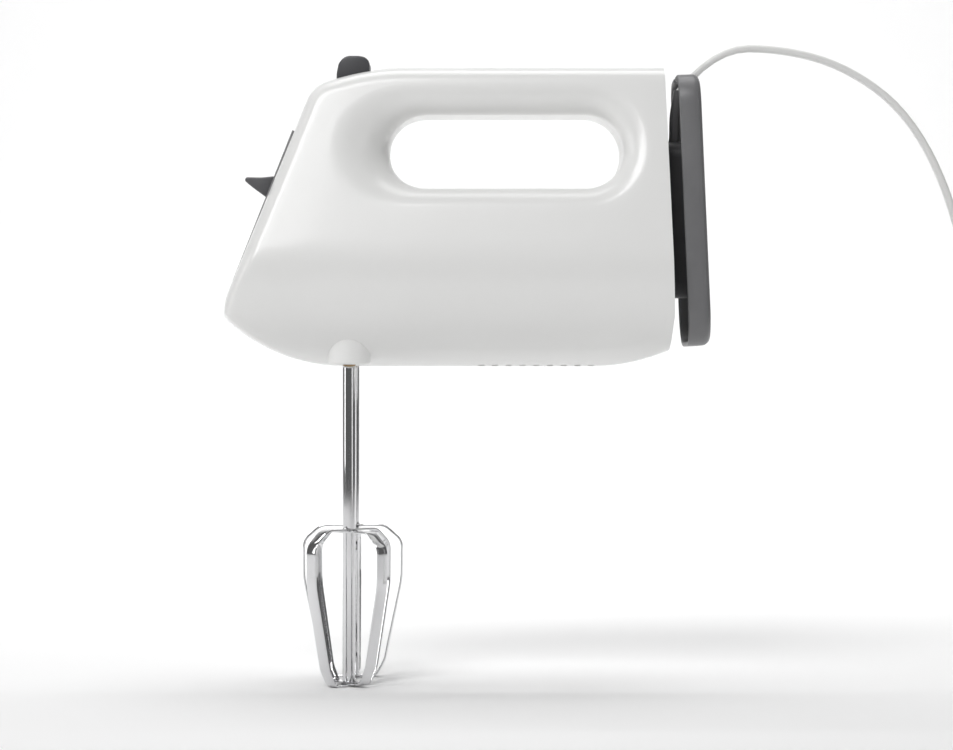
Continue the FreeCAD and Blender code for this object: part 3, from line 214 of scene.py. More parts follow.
def body_half(sign, inset):
    """One closed ring of skin: parting line, crowned rim, side, flare, finger slot."""
    seam = 0.00035 if inset == 0 else 0
    low = 0 if inset == 0 else -0.0005
    rim_width = 0.0075
    line = rounded_line(OUTLINE, 0.0024)
    grid = []
    for i, spot in enumerate(line):
        normal = inward(line, i)
        outer = spot + normal * inset
        core = Vector((min(max(outer.x, -SLOT_MID), SLOT_MID), SLOT_LOW))
        way = (outer - core).normalized()
        inner = core + way * (SLOT_ROUND + inset)
        reach = (outer - inner).length
        rim = rim_width / max(-way.dot(normal), 0.5)
        flare = min(flare_width(way), reach - rim - 0.0004)
        deep = flare * 0.92

        def put(run, share, drop=0.0):
            place = outer - way * run
            full = half_width(place.y) - inset * 1.035
            return Vector((place.x, sign * max(full * share - drop, low), place.y))

        rows = [Vector((outer.x - way.x * seam, sign * low, outer.y - way.y * seam))]
        for step in range(15):
            turn = step / 14
            run = rim * (1 - math.cos(turn * math.pi / 2) ** 0.9)
            share = rim_share(turn, (outer - way * run).y)
            point = put(run, share)
            if step == 0:
                point.y = sign * max(seam, low)
            rows.append(point)
        flat = reach - rim - flare
        rows += [put(rim + flat * step / 9, 1) for step in range(1, 10)]
        for step in range(1, 13):
            angle = math.pi / 2 * step / 12
            run = reach - flare + flare * math.sin(angle)
            rows.append(put(run, 1, deep * (1 - math.cos(angle))))
        top = abs(rows[-1].y)
        for step in range(1, 5):
            rows.append(Vector((inner.x, sign * max(top + (seam - top) * step / 4, low), inner.y)))
        rows.append(Vector((inner.x + way.x * seam, sign * low, inner.y + way.y * seam)))
        grid.append(rows)
    mesh = bmesh.new()
    points = [[mesh.verts.new(p) for p in rows] for rows in grid]
    for a, b in zip(points, points[1:] + points[:1]):
        for k in range(len(a)):
            j = (k + 1) % len(a)
            mesh.faces.new((a[k], b[k], b[j], a[j]))
    for low_end, high_end in ((REAR_LOW, REAR_TOP), (HEEL, REAR_LOW)):
        away = Vector((high_end[1] - low_end[1], 0, low_end[0] - high_end[0])).normalized()
        spot = Vector((high_end[0], 0, high_end[1])) - away * inset
        cut = bmesh.ops.bisect_plane(mesh, geom=mesh.verts[:] + mesh.edges[:] + mesh.faces[:],
                                     plane_co=spot, plane_no=away, clear_outer=True)
        rim_edges = [e for e in cut["geom_cut"] if isinstance(e, bmesh.types.BMEdge)]
        bmesh.ops.contextual_create(mesh, geom=rim_edges)
    bmesh.ops.recalc_face_normals(mesh, faces=mesh.faces)
    return mesh


def as_object(name, mesh):
    data = bpy.data.meshes.new(name)
    mesh.to_mesh(data)
    mesh.free()
    thing = bpy.data.objects.new(name, data)
    bpy.context.scene.collection.objects.link(thing)
    return thing


def add_block(mesh, low, high, place=None):
    """A box between two corners, in the mesh's own or a placed frame."""
    made = bmesh.ops.create_cube(mesh, size=1)["verts"]
    for corner in made:
        at = Vector([low[k] + (high[k] - low[k]) * (corner.co[k] + 0.5) for k in range(3)])
        corner.co = place @ at if place else at


def add_pin(mesh, radius, start, end, steps=40):
    """A cylinder between two points."""
    start, end = Vector(start), Vector(end)
    turn = (end - start).to_track_quat("Z", "Y").to_matrix().to_4x4()
    bmesh.ops.create_cone(mesh, cap_ends=True, segments=steps, radius1=radius, radius2=radius,
                          depth=(end - start).length,
                          matrix=Matrix.Translation((start + end) / 2) @ turn)


def combine(thing, tool, how):
    step = thing.modifiers.new(how, "BOOLEAN")
    step.operation = how
    step.object = tool
    step.solver = "MANIFOLD"
    graph = bpy.context.evaluated_depsgraph_get()
    data = bpy.data.meshes.new_from_object(thing.evaluated_get(graph))
    thing.modifiers.clear()
    old = thing.data
    thing.data = data
    data.name = thing.name
    bpy.data.meshes.remove(old)
    bpy.data.objects.remove(tool)


def settle(thing, sharp=32):
    """Smooth faces with crisp edges past an angle."""
    for face in thing.data.polygons:
        face.use_smooth = True
    thing.data.set_sharp_from_angle(angle=math.radians(sharp))


def row_of_slots():
    """The tree that lays a row of cutting bars for the air vents."""
    tree = bpy.data.node_groups.new("vent_row", "GeometryNodeTree")
    face = tree.interface
    face.new_socket("Geometry", in_out="INPUT", socket_type="NodeSocketGeometry")
    for name, kind, value in (("Count", "NodeSocketInt", 9), ("Pitch", "NodeSocketFloat", 0.006),
                              ("Slot Width", "NodeSocketFloat", 0.0026),
                              ("Slot Length", "NodeSocketFloat", 0.008),
                              ("Material", "NodeSocketMaterial", None)):
        socket = face.new_socket(name, in_out="INPUT", socket_type=kind)
        if value is not None:
            socket.default_value = value
    face.new_socket("Geometry", in_out="OUTPUT", socket_type="NodeSocketGeometry")
    node, link = tree.nodes.new, tree.links.new
    given, result = node("NodeGroupInput"), node("NodeGroupOutput")
    line_of, step = node("GeometryNodeMeshLine"), node("ShaderNodeCombineXYZ")
    bar, size = node("GeometryNodeMeshCube"), node("ShaderNodeCombineXYZ")
    copies, real = node("GeometryNodeInstanceOnPoints"), node("GeometryNodeRealizeInstances")
    paint = node("GeometryNodeSetMaterial")
    link(given.outputs["Count"], line_of.inputs["Count"])
    link(given.outputs["Pitch"], step.inputs["X"])
    link(step.outputs[0], line_of.inputs["Offset"])
    link(given.outputs["Slot Width"], size.inputs["X"])
    link(given.outputs["Slot Length"], size.inputs["Y"])
    size.inputs["Z"].default_value = 0.014
    link(size.outputs[0], bar.inputs["Size"])
    link(line_of.outputs["Mesh"], copies.inputs["Points"])
    link(bar.outputs["Mesh"], copies.inputs["Instance"])
    link(copies.outputs["Instances"], real.inputs["Geometry"])
    link(real.outputs["Geometry"], paint.inputs["Geometry"])
    link(given.outputs["Material"], paint.inputs["Material"])
    link(paint.outputs["Geometry"], result.inputs["Geometry"])
    return tree


def grown(name, tree, values):
    """The plain mesh that a tree makes with these inputs."""
    thing = bpy.data.objects.new(name, bpy.data.meshes.new(name))
    bpy.context.scene.collection.objects.link(thing)
    maker = thing.modifiers.new(name, "NODES")
    maker.node_group = tree
    for item in tree.interface.items_tree:
        if item.in_out == "INPUT" and item.name in values:
            maker[item.identifier] = values[item.name]
    graph = bpy.context.evaluated_depsgraph_get()
    data = bpy.data.meshes.new_from_object(thing.evaluated_get(graph))
    thing.modifiers.clear()
    thing.data = data
    return thing


def slope_place():
    """Down the front slope, across it, and out of it, from the lever's middle."""
    high, low = Vector((-0.0846, 0, 0.0029)), Vector((-0.1223, 0, -0.0920))
    down = (low - high).normalized()
    out = Vector((down.z, 0, -down.x))
    origin = high + (low - high) * (0.0434 / (high.z - low.z))
    across = Vector((0, -1, 0))
    place = Matrix((down, across, out)).transposed().to_4x4()
    place.translation = origin
    return place


SLOPE = slope_place()


def body_holes(sign):
    """Everything cut through the walls, as one set of separate tools."""
    gap, key_half, panel_half, stem_half = 0.0003, 0.0103, 0.013, 0.0019
    tools = bmesh.new()
    side = sorted((0, sign * key_half))
    add_block(tools, (-0.0743, side[0] - 0.001, -0.005), (-0.0591, side[1], 0.025))
    add_block(tools, (-0.025, -panel_half, -0.001), (0.0455, panel_half, 0.006), SLOPE)
    slit_half = stem_half + gap
    add_block(tools, (-0.0086, -slit_half, -0.009), (0.0286, slit_half, -0.0005), SLOPE)
    add_block(tools, (0.0609, -0.004, -0.0306), (0.0809, 0.004, -0.0212))
    add_pin(tools, 0.0066, (GEAR, sign * SPINDLE, -0.1203), (GEAR, sign * SPINDLE, -0.090))
    head_radius, head_seat, thread_radius = 0.0032, 0.014, 0.0015
    for x, z in SCREWS:
        if sign > 0:
            add_pin(tools, head_radius, (x, head_seat, z), (x, 0.06, z), 28)
        add_pin(tools, thread_radius, (x, -0.011, z), (x, 0.013, z), 20)
    return tools


def housing(name, sign, material):
    half = as_object(name, body_half(sign, 0))
    combine(half, as_object("hollow", body_half(sign, WALL)), "DIFFERENCE")
    bosses = bmesh.new()
    for x, z in SCREWS:
        add_pin(bosses, 0.0042, (x, 0, z), (x, sign * (half_width(z) - 0.0062), z), 32)
    combine(half, as_object("bosses", bosses), "UNION")
    collar = bmesh.new()
    profile = [(0, -0.1033), (0.0082, -0.1033), (0.00925, -0.1045), (0.00925, -0.1181),
               (0.0091, -0.1187), (0.0087, -0.1191), (0.0081, -0.1193), (0, -0.1193)]
    ring = [collar.verts.new((GEAR + r, sign * SPINDLE, z)) for r, z in profile]
    edges = [collar.edges.new(pair) for pair in zip(ring, ring[1:])]
    bmesh.ops.spin(collar, geom=edges + ring, cent=(GEAR, sign * SPINDLE, 0), axis=(0, 0, 1),
                   angle=math.tau, steps=64)
    bmesh.ops.remove_doubles(collar, verts=collar.verts, dist=1e-6)
    bmesh.ops.recalc_face_normals(collar, faces=collar.faces)
    combine(half, as_object("collar", collar), "UNION")
    combine(half, as_object("holes", body_holes(sign)), "DIFFERENCE")
    vents = grown("vents", row_of_slots(), {"Count": 9, "Pitch": 0.006, "Slot Width": 0.0026,
                                            "Slot Length": 0.008, "Material": material})
    for corner in vents.data.vertices:
        corner.co += Vector((-0.0107, sign * 0.0055, -0.1199))
    combine(half, vents, "DIFFERENCE")
    half.data.materials.clear()
    half.data.materials.append(material)
    settle(half)
    return half


def finish(name, light, dark, scale=60, rough=(0.3, 0.4), bump=0.1, metal=0, stretch=(1, 1, 1),
           coat=0):
    """A surface whose colour, gloss and fine relief wander a little over the piece."""
    skin = bpy.data.materials.new(name)
    skin.use_nodes = True
    tree = skin.node_tree
    shader = tree.nodes["Principled BSDF"]
    shader.inputs["Metallic"].default_value = metal
    shader.inputs["Coat Weight"].default_value = coat
    shader.inputs["Coat Roughness"].default_value = 0.08
    node, link = tree.nodes.new, tree.links.new
    where, place = node("ShaderNodeTexCoord"), node("ShaderNodeMapping")
    place.inputs["Scale"].default_value = stretch
    link(where.outputs["Object"], place.inputs["Vector"])
    cloud, grain = node("ShaderNodeTexNoise"), node("ShaderNodeTexNoise")
    cloud.inputs["Scale"].default_value = scale
    cloud.inputs["Detail"].default_value = 3
    grain.inputs["Scale"].default_value = scale * 30
    grain.inputs["Detail"].default_value = 4
    for texture in (cloud, grain):
        link(place.outputs["Vector"], texture.inputs["Vector"])
    tint = node("ShaderNodeMix")
    tint.data_type = "RGBA"
    tint.inputs["A"].default_value = (*light, 1)
    tint.inputs["B"].default_value = (*dark, 1)
    link(cloud.outputs["Fac"], tint.inputs["Factor"])
    link(tint.outputs["Result"], shader.inputs["Base Color"])
    gloss = node("ShaderNodeMapRange")
    gloss.inputs["To Min"].default_value, gloss.inputs["To Max"].default_value = rough
    link(grain.outputs["Fac"], gloss.inputs["Value"])
    link(gloss.outputs["Result"], shader.inputs["Roughness"])
    relief = node("ShaderNodeBump")
    relief.inputs["Strength"].default_value = bump
    relief.inputs["Distance"].default_value = 0.0002
    link(grain.outputs["Fac"], relief.inputs["Height"])
    link(relief.outputs["Normal"], shader.inputs["Normal"])
    return skin


def dress(material, *names):
    """Give pieces carried over from the design their finish."""
    for name in names:
        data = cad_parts[name].data
        data.materials.clear()
        data.materials.append(material)


def fit(thing, material, body, slot, *nodes):
    """Finish a made piece: material, body and what it stands for; the colour slot argument is not
    used.
    """
    thing.data.materials.clear()
    thing.data.materials.append(material)
    if nodes:
        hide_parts(*nodes)
    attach(thing, body)


shell_white = finish("shell_white", (0.86, 0.86, 0.85), (0.82, 0.82, 0.81), 18, (0.26, 0.33),
                     0.03, coat=0.25)
for name, sign in (("left", -1), ("right", 1)):
    fit(housing("shell_" + name, sign, shell_white), shell_white, "root", "white_shell",
        "housing_" + name)
zinc = finish("zinc_plate", (0.62, 0.62, 0.58), (0.50, 0.50, 0.47), 200, (0.28, 0.42), 0.1, 1)
dress(zinc, "housing_screws", "frame_screws", "motor_screws", "hub_screws")


# ------------------------------------------------------------------ speed control
# A thin grey plate let into the front slope, and a dark wedge of a finger lever that
# slides down it on a stem.  Both are textured ABS, and the wedge's edges are softened.

def prism(name, profile, half_width, soften, place=None, segments=4):
    """A side profile drawn out across the mixer, with every edge rounded."""
    mesh = bmesh.new()
    near = [mesh.verts.new((u, -half_width, v)) for u, v in profile]
    far = [mesh.verts.new((u, half_width, v)) for u, v in profile]
    mesh.faces.new(near)
    mesh.faces.new(reversed(far))
    for i in range(len(near)):
        j = (i + 1) % len(near)
        mesh.faces.new((near[j], near[i], far[i], far[j]))
    bmesh.ops.recalc_face_normals(mesh, faces=mesh.faces)
    bmesh.ops.bevel(mesh, geom=mesh.edges[:], offset=soften, segments=segments, profile=0.5,
                    affect="EDGES", clamp_overlap=True)
    if place:
        bmesh.ops.transform(mesh, matrix=place, verts=mesh.verts)
        bmesh.ops.recalc_face_normals(mesh, faces=mesh.faces)
    thing = as_object(name, mesh)
    settle(thing, 40)
    return thing


plate_grey = finish("plate_grey", (0.24, 0.24, 0.245), (0.20, 0.20, 0.205), 120, (0.45, 0.6),
                    0.25)
dress(plate_grey, "control_panel")
lever_grey = finish("lever_grey", (0.115, 0.115, 0.12), (0.09, 0.09, 0.095), 150, (0.38, 0.5),
                    0.25)
lever = prism("finger_lever",
              [(-0.0039, 0.0008), (-0.0012, 0.0060), (0.0006, 0.0108), (0.0012, 0.0125),
               (0.0029, 0.0125), (0.0040, 0.0092), (0.0062, 0.0008)],
              0.0064, 0.0009, SLOPE)
stem = bmesh.new()
add_block(stem, (-0.0029, -0.0018, -0.0052), (0.0029, 0.0018, 0.0012), SLOPE)
combine(lever, as_object("lever_stem", stem), "UNION")
settle(lever, 40)
fit(lever, lever_grey, "lever", "grey_trim", "speed_lever")
cream = finish("cream_nylon", (0.78, 0.75, 0.66), (0.70, 0.67, 0.58), 90, (0.4, 0.5), 0.15)
switch_black = finish("switch_black", (0.035, 0.035, 0.037), (0.025, 0.025, 0.027), 150,
                      (0.4, 0.55), 0.2)
lacquer_green = finish("lacquer_green", (0.03, 0.16, 0.07), (0.02, 0.10, 0.05), 300,
                       (0.2, 0.3), 0.1)
cast_blue = finish("cast_blue", (0.06, 0.14, 0.36), (0.04, 0.10, 0.28), 120, (0.25, 0.35), 0.1)
dress(cream, "switch_slider")
dress(switch_black, "speed_switch", "triac")
dress(lacquer_green, "control_board")
dress(cast_blue, "suppression_capacitor")


# ------------------------------------------------------------------ beater release
# A dark key in the top of the grip, crowned and sloped at its front, over a moulded bar
# that reaches down to the two rods, with a steel return spring round it.

key_dark = finish("key_dark", (0.085, 0.085, 0.09), (0.065, 0.065, 0.07), 120, (0.3, 0.42),
                  0.2)
key = prism("release_key",
            [(-0.0740, 0.0021), (-0.0740, 0.0080), (-0.0731, 0.0125), (-0.0712, 0.0148),
             (-0.0690, 0.0158), (-0.0640, 0.0158), (-0.0615, 0.0152), (-0.0597, 0.0134),
             (-0.0595, 0.0100), (-0.0595, 0.0021)],
            0.0099, 0.0009)
fit(key, key_dark, "eject", "dark_trim", "eject_button")
dress(cream, "eject_bar")
drawn_wire = finish("drawn_wire", (0.55, 0.55, 0.55), (0.42, 0.42, 0.42), 400, (0.25, 0.4),
                    0.1, 1)
dress(drawn_wire, "eject_spring", "brush_spring_left", "brush_spring_right")


# ------------------------------------------------------------------ cord store
# A grey dish on a post behind the body, the post painted far darker than the dish as painted shade
# for
# its recess: the lead winds between the two.  The dish is a rounded tray with a softened lip and a
# notch that holds the lead's end.

def stacked(rows):
    """A skin through rings of equal point count, closed at both ends."""
    mesh = bmesh.new()
    rings = [[mesh.verts.new(p) for p in row] for row in rows]
    for a, b in zip(rings, rings[1:]):
        for k in range(len(a)):
            j = (k + 1) % len(a)
            mesh.faces.new((a[k], a[j], b[j], b[k]))
    mesh.faces.new(rings[0])
    mesh.faces.new(rings[-1])
    bmesh.ops.recalc_face_normals(mesh, faces=mesh.faces)
    return mesh


def store_dish():
    top, bottom, narrow, wide = 0.0070, -0.1113, 0.0250, 0.0300
    wall, rim_round, well_round = 0.0020, 0.0034, 0.0022
    side_deep, floor_inset = 0.0064, 0.0100
    outline = rounded_line([(-narrow, top, 0.013), (narrow, top, 0.013),
                            (wide, bottom, 0.016), (-wide, bottom, 0.016)], 0.0016)
    # the tray's section as (inset, depth): lip, outer side, back, inside, lip again
    profile = [(0.0006, 0.0000), (0.0002, 0.0002), (0.0000, 0.0006)]
    for step in range(9):
        angle = math.pi / 2 * step / 8
        profile.append((rim_round * (1 - math.cos(angle)),
                        side_deep + rim_round * math.sin(angle)))
    back = profile[-1][1]
    profile.append((floor_inset, back))
    last_outer = len(profile) - 1
    profile.append((floor_inset, back - wall))
    for step in range(7):
        angle = math.pi / 2 * step / 6
        profile.append((wall + well_round - well_round * math.sin(angle),
                        back - wall - well_round * (1 - math.cos(angle))))
    profile += [(wall, 0.0006), (0.0017, 0.0002), (0.0013, 0.0000)]
    lean = Matrix.Translation((0.0745, 0, 0)) @ Matrix.Rotation(math.radians(-2.3), 4, "Y")
    mesh = bmesh.new()
    rings = []
    for inset, deep in profile:
        ring = []
        for i, spot in enumerate(outline):
            at = spot + inward(outline, i) * inset
            ring.append(mesh.verts.new(lean @ Vector((deep, at.x, at.y))))
        rings.append(ring)
    for k, (a, b) in enumerate(zip(rings, rings[1:] + rings[:1])):
        if k == last_outer:
            mesh.faces.new(a)
            mesh.faces.new(b)
            continue
        for i in range(len(a)):
            j = (i + 1) % len(a)
            mesh.faces.new((a[i], a[j], b[j], b[i]))
    bmesh.ops.recalc_face_normals(mesh, faces=mesh.faces)
    dish = as_object("store_dish", mesh)
    notch_half, notch_low, notch_high = 0.004, -0.0015, 0.0285
    cuts = bmesh.new()
    add_block(cuts, (-0.001, -notch_half, notch_low), (0.0115, notch_half, notch_high), lean)
    for z in (-0.038, -0.078):
        add_pin(cuts, 0.0016, (0.064, 0, z), (0.095, 0, z), 24)
    combine(dish, as_object("notch", cuts), "DIFFERENCE")
    settle(dish, 38)
    return dish


dish_grey = finish("dish_grey", (0.185, 0.185, 0.19), (0.15, 0.15, 0.155), 100, (0.34, 0.46),
                   0.2)
fit(store_dish(), dish_grey, "root", "grey_trim", "cord_flange")
# The post is the dish's grey plastic painted much darker: painted shade for the recess between
# body and dish.
post_shaded_grey = finish("post_shaded_grey", (0.055, 0.055, 0.058), (0.04, 0.04, 0.043), 120,
                       (0.4, 0.52), 0.2)
dress(post_shaded_grey, "cord_hub")


# ------------------------------------------------------------------ beaters
# Polished stainless steel.  Each has a ground rod and two loops of flat wire with
# softened edges, nested and spot-welded where they cross at the foot.

def steel_loop(name, side, turn, inset):
    """One closed loop of flat wire round its rod."""
    half, top, tip = 0.02235, -0.1903, -0.2587
    corners = [(-0.0102, tip, 0.004), (-0.0146, tip + 0.0075, 0.012),
               (-half + 0.0001, tip + 0.044, 0.030), (-half, top - 0.007, 0.007),
               (-half + 0.008, top, 0.007), (half - 0.008, top, 0.007),
               (half, top - 0.007, 0.007), (half - 0.0001, tip + 0.044, 0.030),
               (0.0146, tip + 0.0075, 0.012), (0.0102, tip, 0.004)]
    line = rounded_line(corners, 0.0011)
    thick, wide, soft = 0.001, 0.0058, 0.0004
    section = []
    for quarter, (u, v) in enumerate(((1, 1), (-1, 1), (-1, -1), (1, -1))):
        for step in range(4):
            angle = math.radians(90 * quarter + 30 * step)
            section.append((u * (thick / 2 - soft) + soft * math.cos(angle),
                            v * (wide / 2 - soft) + soft * math.sin(angle)))
    turned = Matrix.Translation((GEAR, side * SPINDLE, 0)) @ Matrix.Rotation(
        math.radians(turn), 4, "Z")
    mesh = bmesh.new()
    rings = []
    for i, spot in enumerate(line):
        normal = inward(line, i)
        ring = []
        for deep, across in section:
            at = spot + normal * (inset + thick / 2 - deep)
            ring.append(mesh.verts.new(turned @ Vector((at.x, across, at.y))))
        rings.append(ring)
    for a, b in zip(rings, rings[1:] + rings[:1]):
        for k in range(len(a)):
            j = (k + 1) % len(a)
            mesh.faces.new((a[k], a[j], b[j], b[k]))
    bmesh.ops.recalc_face_normals(mesh, faces=mesh.faces)
    thing = as_object(name, mesh)
    bore = bmesh.new()
    add_pin(bore, 0.00285, (GEAR, side * SPINDLE, -0.2572), (GEAR, side * SPINDLE, -0.150), 48)
    combine(thing, as_object("bore", bore), "DIFFERENCE")
    settle(thing, 50)
    return thing


def steel_rod(name, side):
    profile = [(0.0001, -0.0705), (0.0017, -0.0706), (0.0023, -0.0710), (0.00285, -0.0720),
               (0.00285, -0.2562), (0.0027, -0.2566), (0.0001, -0.2567)]
    around = 48
    rows = []
    for radius, z in profile:
        rows.append([(GEAR + radius * math.cos(math.tau * k / around),
                      side * SPINDLE + radius * math.sin(math.tau * k / around), z)
                     for k in range(around)])
    thing = as_object(name, stacked(rows))
    settle(thing, 40)
    return thing


stainless = finish("stainless", (0.80, 0.80, 0.81), (0.70, 0.70, 0.71), 40, (0.06, 0.14), 0.02,
                   1, (1, 1, 0.1))
for name, side, turn in (("left", -1, 45), ("right", 1, 0)):
    body = "beater_" + name
    fit(steel_rod("rod_" + name, side), stainless, body, "polished_steel", "beater_rod_" + name)
    for letter, extra, inset in (("a", 0, 0), ("b", 90, 0.001)):
        fit(steel_loop("loop_%s_%s" % (name, letter), side, turn + extra, inset), stainless,
            body, "polished_steel", "beater_loop_%s_%s" % (name, letter))


# ------------------------------------------------------------------ drive
# A worm on the motor's shaft turns two moulded nylon wheels on hollow steel spindles,
# which run in sintered bronze bushes and an open die-cast frame.

ground_steel = finish("ground_steel", (0.62, 0.62, 0.63), (0.52, 0.52, 0.53), 300,
                      (0.18, 0.32), 0.08, 1)
sintered = finish("sintered_bronze", (0.55, 0.38, 0.18), (0.42, 0.28, 0.13), 400, (0.35, 0.5),
                  0.3, 1)
die_cast = finish("die_cast", (0.56, 0.56, 0.57), (0.44, 0.44, 0.45), 150, (0.4, 0.58), 0.35,
                  1)
gear_nylon = finish("gear_nylon", (0.80, 0.76, 0.62), (0.73, 0.69, 0.55), 90, (0.35, 0.45),
                    0.15)
dress(ground_steel, "worm_shaft", "spindle_left", "spindle_right", "front_bearing",
      "rear_bearing")
dress(sintered, "spindle_bush_left", "spindle_bush_right", "brush_guide_left",
      "brush_guide_right")
dress(die_cast, "gearbox_frame", "motor_bracket")
dress(gear_nylon, "worm_wheel_left", "worm_wheel_right")


# ------------------------------------------------------------------ motor
# A series motor: stacked steel sheets with lacquered copper windings, a commutator with
# two carbon brushes, and a moulded fan on the same shaft.

def sheet_stack():
    """Stacked sheets: fine lines across the shaft on dark oxidised steel."""
    skin = finish("sheet_stack", (0.24, 0.24, 0.26), (0.16, 0.16, 0.18), 200, (0.4, 0.55), 0.2,
                  1)
    tree = skin.node_tree
    where = tree.nodes["Texture Coordinate"]
    lines = tree.nodes.new("ShaderNodeTexWave")
    lines.inputs["Scale"].default_value = 320
    relief = tree.nodes["Bump"]
    tree.links.new(where.outputs["Object"], lines.inputs["Vector"])
    tree.links.new(lines.outputs["Fac"], relief.inputs["Height"])
    return skin


enamelled = finish("enamelled_copper", (0.62, 0.24, 0.10), (0.45, 0.15, 0.06), 300,
                   (0.2, 0.35), 0.4, 1, (0.15, 1, 1))
pressed_carbon = finish("pressed_carbon", (0.035, 0.035, 0.035), (0.02, 0.02, 0.02), 500,
                        (0.55, 0.7), 0.3)
dress(sheet_stack(), "stator_core", "rotor_core")
dress(enamelled, "field_winding_upper", "field_winding_lower", "rotor_windings", "commutator")
dress(pressed_carbon, "brush_left", "brush_right")
dress(cream, "cooling_fan")
brown_jacket = finish("brown_jacket", (0.20, 0.09, 0.04), (0.15, 0.07, 0.03), 150,
                      (0.35, 0.45), 0.1)
dress(brown_jacket, "inner_leads")


# ------------------------------------------------------------------ power cord
# A flat two-core lead in white vinyl.  It leaves the store, hangs over the edge, and
# the length not in use lies in a tied coil of four turns with the plug beside it.

CORD_WIDE = 0.0054
CORD_THICK = 0.0033
LYING = FLOOR + CORD_THICK / 2          # the middle of the lead where it lies flat
STANDING = FLOOR + CORD_WIDE / 2        # and where it stands on its edge, in the coil
COIL_AT = Vector((0.262, 0, 0))
PLUG_START = (0.338, -0.022, FLOOR + 0.00685)


def coil_turns():
    """Four turns on edge: outer and inner below, then inner and outer on top."""
    outer, inner = 0.0319, 0.0282
    per_turn = 24
    swell = 1 / math.cos(math.pi / per_turn)
    rise = CORD_WIDE + 0.0001

    def ease(turned, start, end):
        share = min(max((turned - start) / (end - start), 0), 1)
        return share * share * (3 - 2 * share)

    points = []
    for step in range(1, int(3.66 * per_turn)):
        turned = 360 * step / per_turn
        inward = ease(turned, 305, 345) - ease(turned, 975, 1020)
        climb = ease(turned, 650, 690)
        radius = outer + (inner - outer) * inward
        angle = math.radians(turned - 90)
        points.append(COIL_AT + Vector((radius * swell * math.cos(angle),
                                        radius * swell * math.sin(angle),
                                        STANDING + rise * climb)))
    return points


def cord_route():
    lead = [(0.0760, 0, 0.0005), (0.0920, 0, 0.0200), (0.1220, 0, 0.0198), (0.1500, 0, 0.0120),
            (0.1770, 0, -0.0080), (0.1960, 0, -0.0440), (0.2060, 0, -0.0920),
            (0.2060, -0.0040, -0.1420), (0.2040, -0.0120, -0.1900),
            (0.2070, -0.0220, -0.2240), (0.2190, -0.0300, -0.2470),
            (0.2400, -0.0319, LYING + 0.0004), (0.2560, -0.0319, LYING + 0.0008)]
    upper = STANDING + CORD_WIDE
    tail = [(0.2262, 0.0010, upper), (0.2275, -0.0130, upper), (0.2335, -0.0255, upper),
            (0.2430, -0.0345, upper), (0.2560, -0.0383, upper - 0.0006),
            (0.2710, -0.0384, STANDING + 0.0014), (0.2880, -0.0362, LYING + 0.0006),
            (0.3040, -0.0280, LYING + 0.0006), (0.3200, -0.0222, FLOOR + 0.0064), PLUG_START]
    return [Vector(p) for p in lead] + coil_turns() + [Vector(p) for p in tail]


def cord_line(points):
    curve = bpy.data.curves.new("cord_line", "CURVE")
    curve.dimensions = "3D"
    curve.resolution_u = 6
    spline = curve.splines.new("NURBS")
    spline.points.add(len(points) - 1)
    for spot, place in zip(spline.points, points):
        spot.co = (*place, 1)
    spline.order_u = 3
    spline.use_endpoint_u = True
    holder = bpy.data.objects.new("cord_line", curve)
    mesh = bpy.data.meshes.new_from_object(holder)
    line = [v.co.copy() for v in mesh.vertices]
    bpy.data.meshes.remove(mesh)
    bpy.data.curves.remove(curve)
    return line


def rolls_along(line):
    """How far the flat lead is rolled onto its edge at each point, in radians."""
    coil_starts = min(range(len(line)),
                      key=lambda i: (line[i] - Vector((0.250, -0.0319, LYING))).length)
    run = [0]
    for a, b in zip(line, line[1:]):
        run.append(run[-1] + (b - a).length)
    edge_from, edge_to = run[coil_starts] - 0.030, run[coil_starts] + 0.012
    back_from, back_to = run[-1] - 0.075, run[-1] - 0.030
    rolls = []
    for here in run:
        up_share = min(max((here - edge_from) / (edge_to - edge_from), 0), 1)
        down_share = min(max((here - back_from) / (back_to - back_from), 0), 1)
        rolls.append(math.pi / 2 * (up_share - down_share))
    return rolls


def flat_lead(line, rolls):
    """The lead's skin: a rounded flat section with a shallow valley between its cores."""
    around = 16
    rows = []
    for i, (place, roll) in enumerate(zip(line, rolls)):
        ahead = (line[min(i + 1, len(line) - 1)] - line[max(i - 1, 0)]).normalized()
        wide = Vector((0, math.cos(roll), math.sin(roll)))
        wide = (wide - ahead * wide.dot(ahead)).normalized()
        thick = ahead.cross(wide)
        row = []
        for k in range(around):
            angle = 2 * math.pi * (k + 0.5) / around
            c, s = math.cos(angle), math.sin(angle)
            core_dip = 1 - 0.16 * math.exp(-(c / 0.22) ** 2)
            row.append(place + wide * CORD_WIDE / 2 * math.copysign(abs(c) ** 0.75, c)
                       + thick * CORD_THICK / 2 * math.copysign(abs(s) ** 0.75, s) * core_dip)
        rows.append(row)
    return stacked(rows)


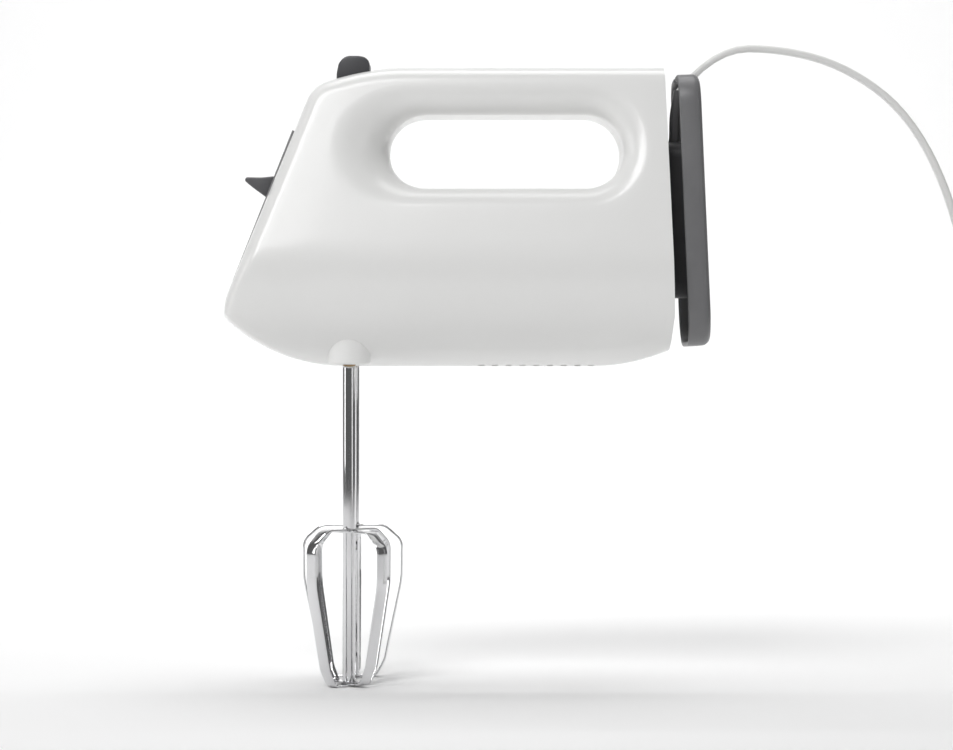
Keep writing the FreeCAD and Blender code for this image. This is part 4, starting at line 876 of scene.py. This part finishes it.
def relief_sleeve():
    """A flat sleeve moulded over the lead where it leaves the body, turning it upward."""
    curve = bpy.data.curves.new("sleeve_line", "CURVE")
    curve.dimensions = "3D"
    curve.resolution_u = 12
    spline = curve.splines.new("NURBS")
    route = [(0.0660, 0, -0.0262), (0.0725, 0, -0.0252), (0.0742, 0, -0.0215),
             (0.0742, 0, -0.0110), (0.0752, 0, -0.0040), (0.0762, 0, 0.0012)]
    spline.points.add(len(route) - 1)
    for spot, place in zip(spline.points, route):
        spot.co = (*place, 1)
    spline.order_u = 3
    spline.use_endpoint_u = True
    holder = bpy.data.objects.new("sleeve_line", curve)
    mesh = bpy.data.meshes.new_from_object(holder)
    path = [v.co.copy() for v in mesh.vertices]
    rows = []
    wide, thick = 0.0031, 0.0021
    for i, place in enumerate(path):
        ahead = (path[min(i + 1, len(path) - 1)] - path[max(i - 1, 0)]).normalized()
        out = ahead.cross(Vector((0, 1, 0)))
        row = []
        for k in range(24):
            angle = math.tau * (k + 0.5) / 24
            c, s = math.cos(angle), math.sin(angle)
            row.append(place + Vector((0, 1, 0)) * wide * math.copysign(abs(c) ** 0.5, c)
                       + out * thick * math.copysign(abs(s) ** 0.5, s))
        rows.append(row)
    return stacked(rows)


def coil_tie():
    """A flat band over the coil's section, standing on the floor at both its feet."""
    thick, wide = 0.0011, 0.0035
    inner, outer = 0.0262, 0.0338
    high = 2 * CORD_WIDE + 0.0003
    mesh = bmesh.new()
    add_block(mesh, (COIL_AT.x - wide, inner - thick, FLOOR),
              (COIL_AT.x + wide, outer + thick, FLOOR + high + thick))
    bmesh.ops.bevel(mesh, geom=mesh.edges[:], offset=0.0005, segments=3, profile=0.5,
                    affect="EDGES", clamp_overlap=True)
    band = as_object("lead_tie", mesh)
    room = bmesh.new()
    add_block(room, (COIL_AT.x - 2 * wide, inner, FLOOR - 0.001),
              (COIL_AT.x + 2 * wide, outer, FLOOR + high))
    combine(band, as_object("room", room), "DIFFERENCE")
    settle(band, 40)
    return band


vinyl_white = finish("vinyl_white", (0.80, 0.80, 0.79), (0.75, 0.75, 0.74), 60, (0.35, 0.45),
                     0.08)
line = cord_line(cord_route())
rolls = rolls_along(line)
for spot, roll in zip(line, rolls):
    reach = math.hypot(CORD_WIDE / 2 * math.sin(roll), CORD_THICK / 2 * math.cos(roll))
    spot.z = max(spot.z, FLOOR + reach)
power_cord = as_object("power_cord", flat_lead(line, rolls))
settle(power_cord, 60)
fit(power_cord, vinyl_white, "root", "white_cord", "cord", "cord_tail", "cord_coil")
sleeve = as_object("relief_sleeve", relief_sleeve())
settle(sleeve, 40)
fit(sleeve, dish_grey, "root", "grey_trim", "strain_relief")
tie_black = finish("tie_black", (0.06, 0.06, 0.06), (0.04, 0.04, 0.04), 150, (0.4, 0.55), 0.2)
fit(coil_tie(), tie_black, "root", "tie_plastic", "cord_tie")
nickel = finish("nickel_pins", (0.72, 0.70, 0.64), (0.62, 0.60, 0.55), 200, (0.12, 0.22), 0.03, 1)
dress(vinyl_white, "plug_body")
dress(nickel, "plug_pins")
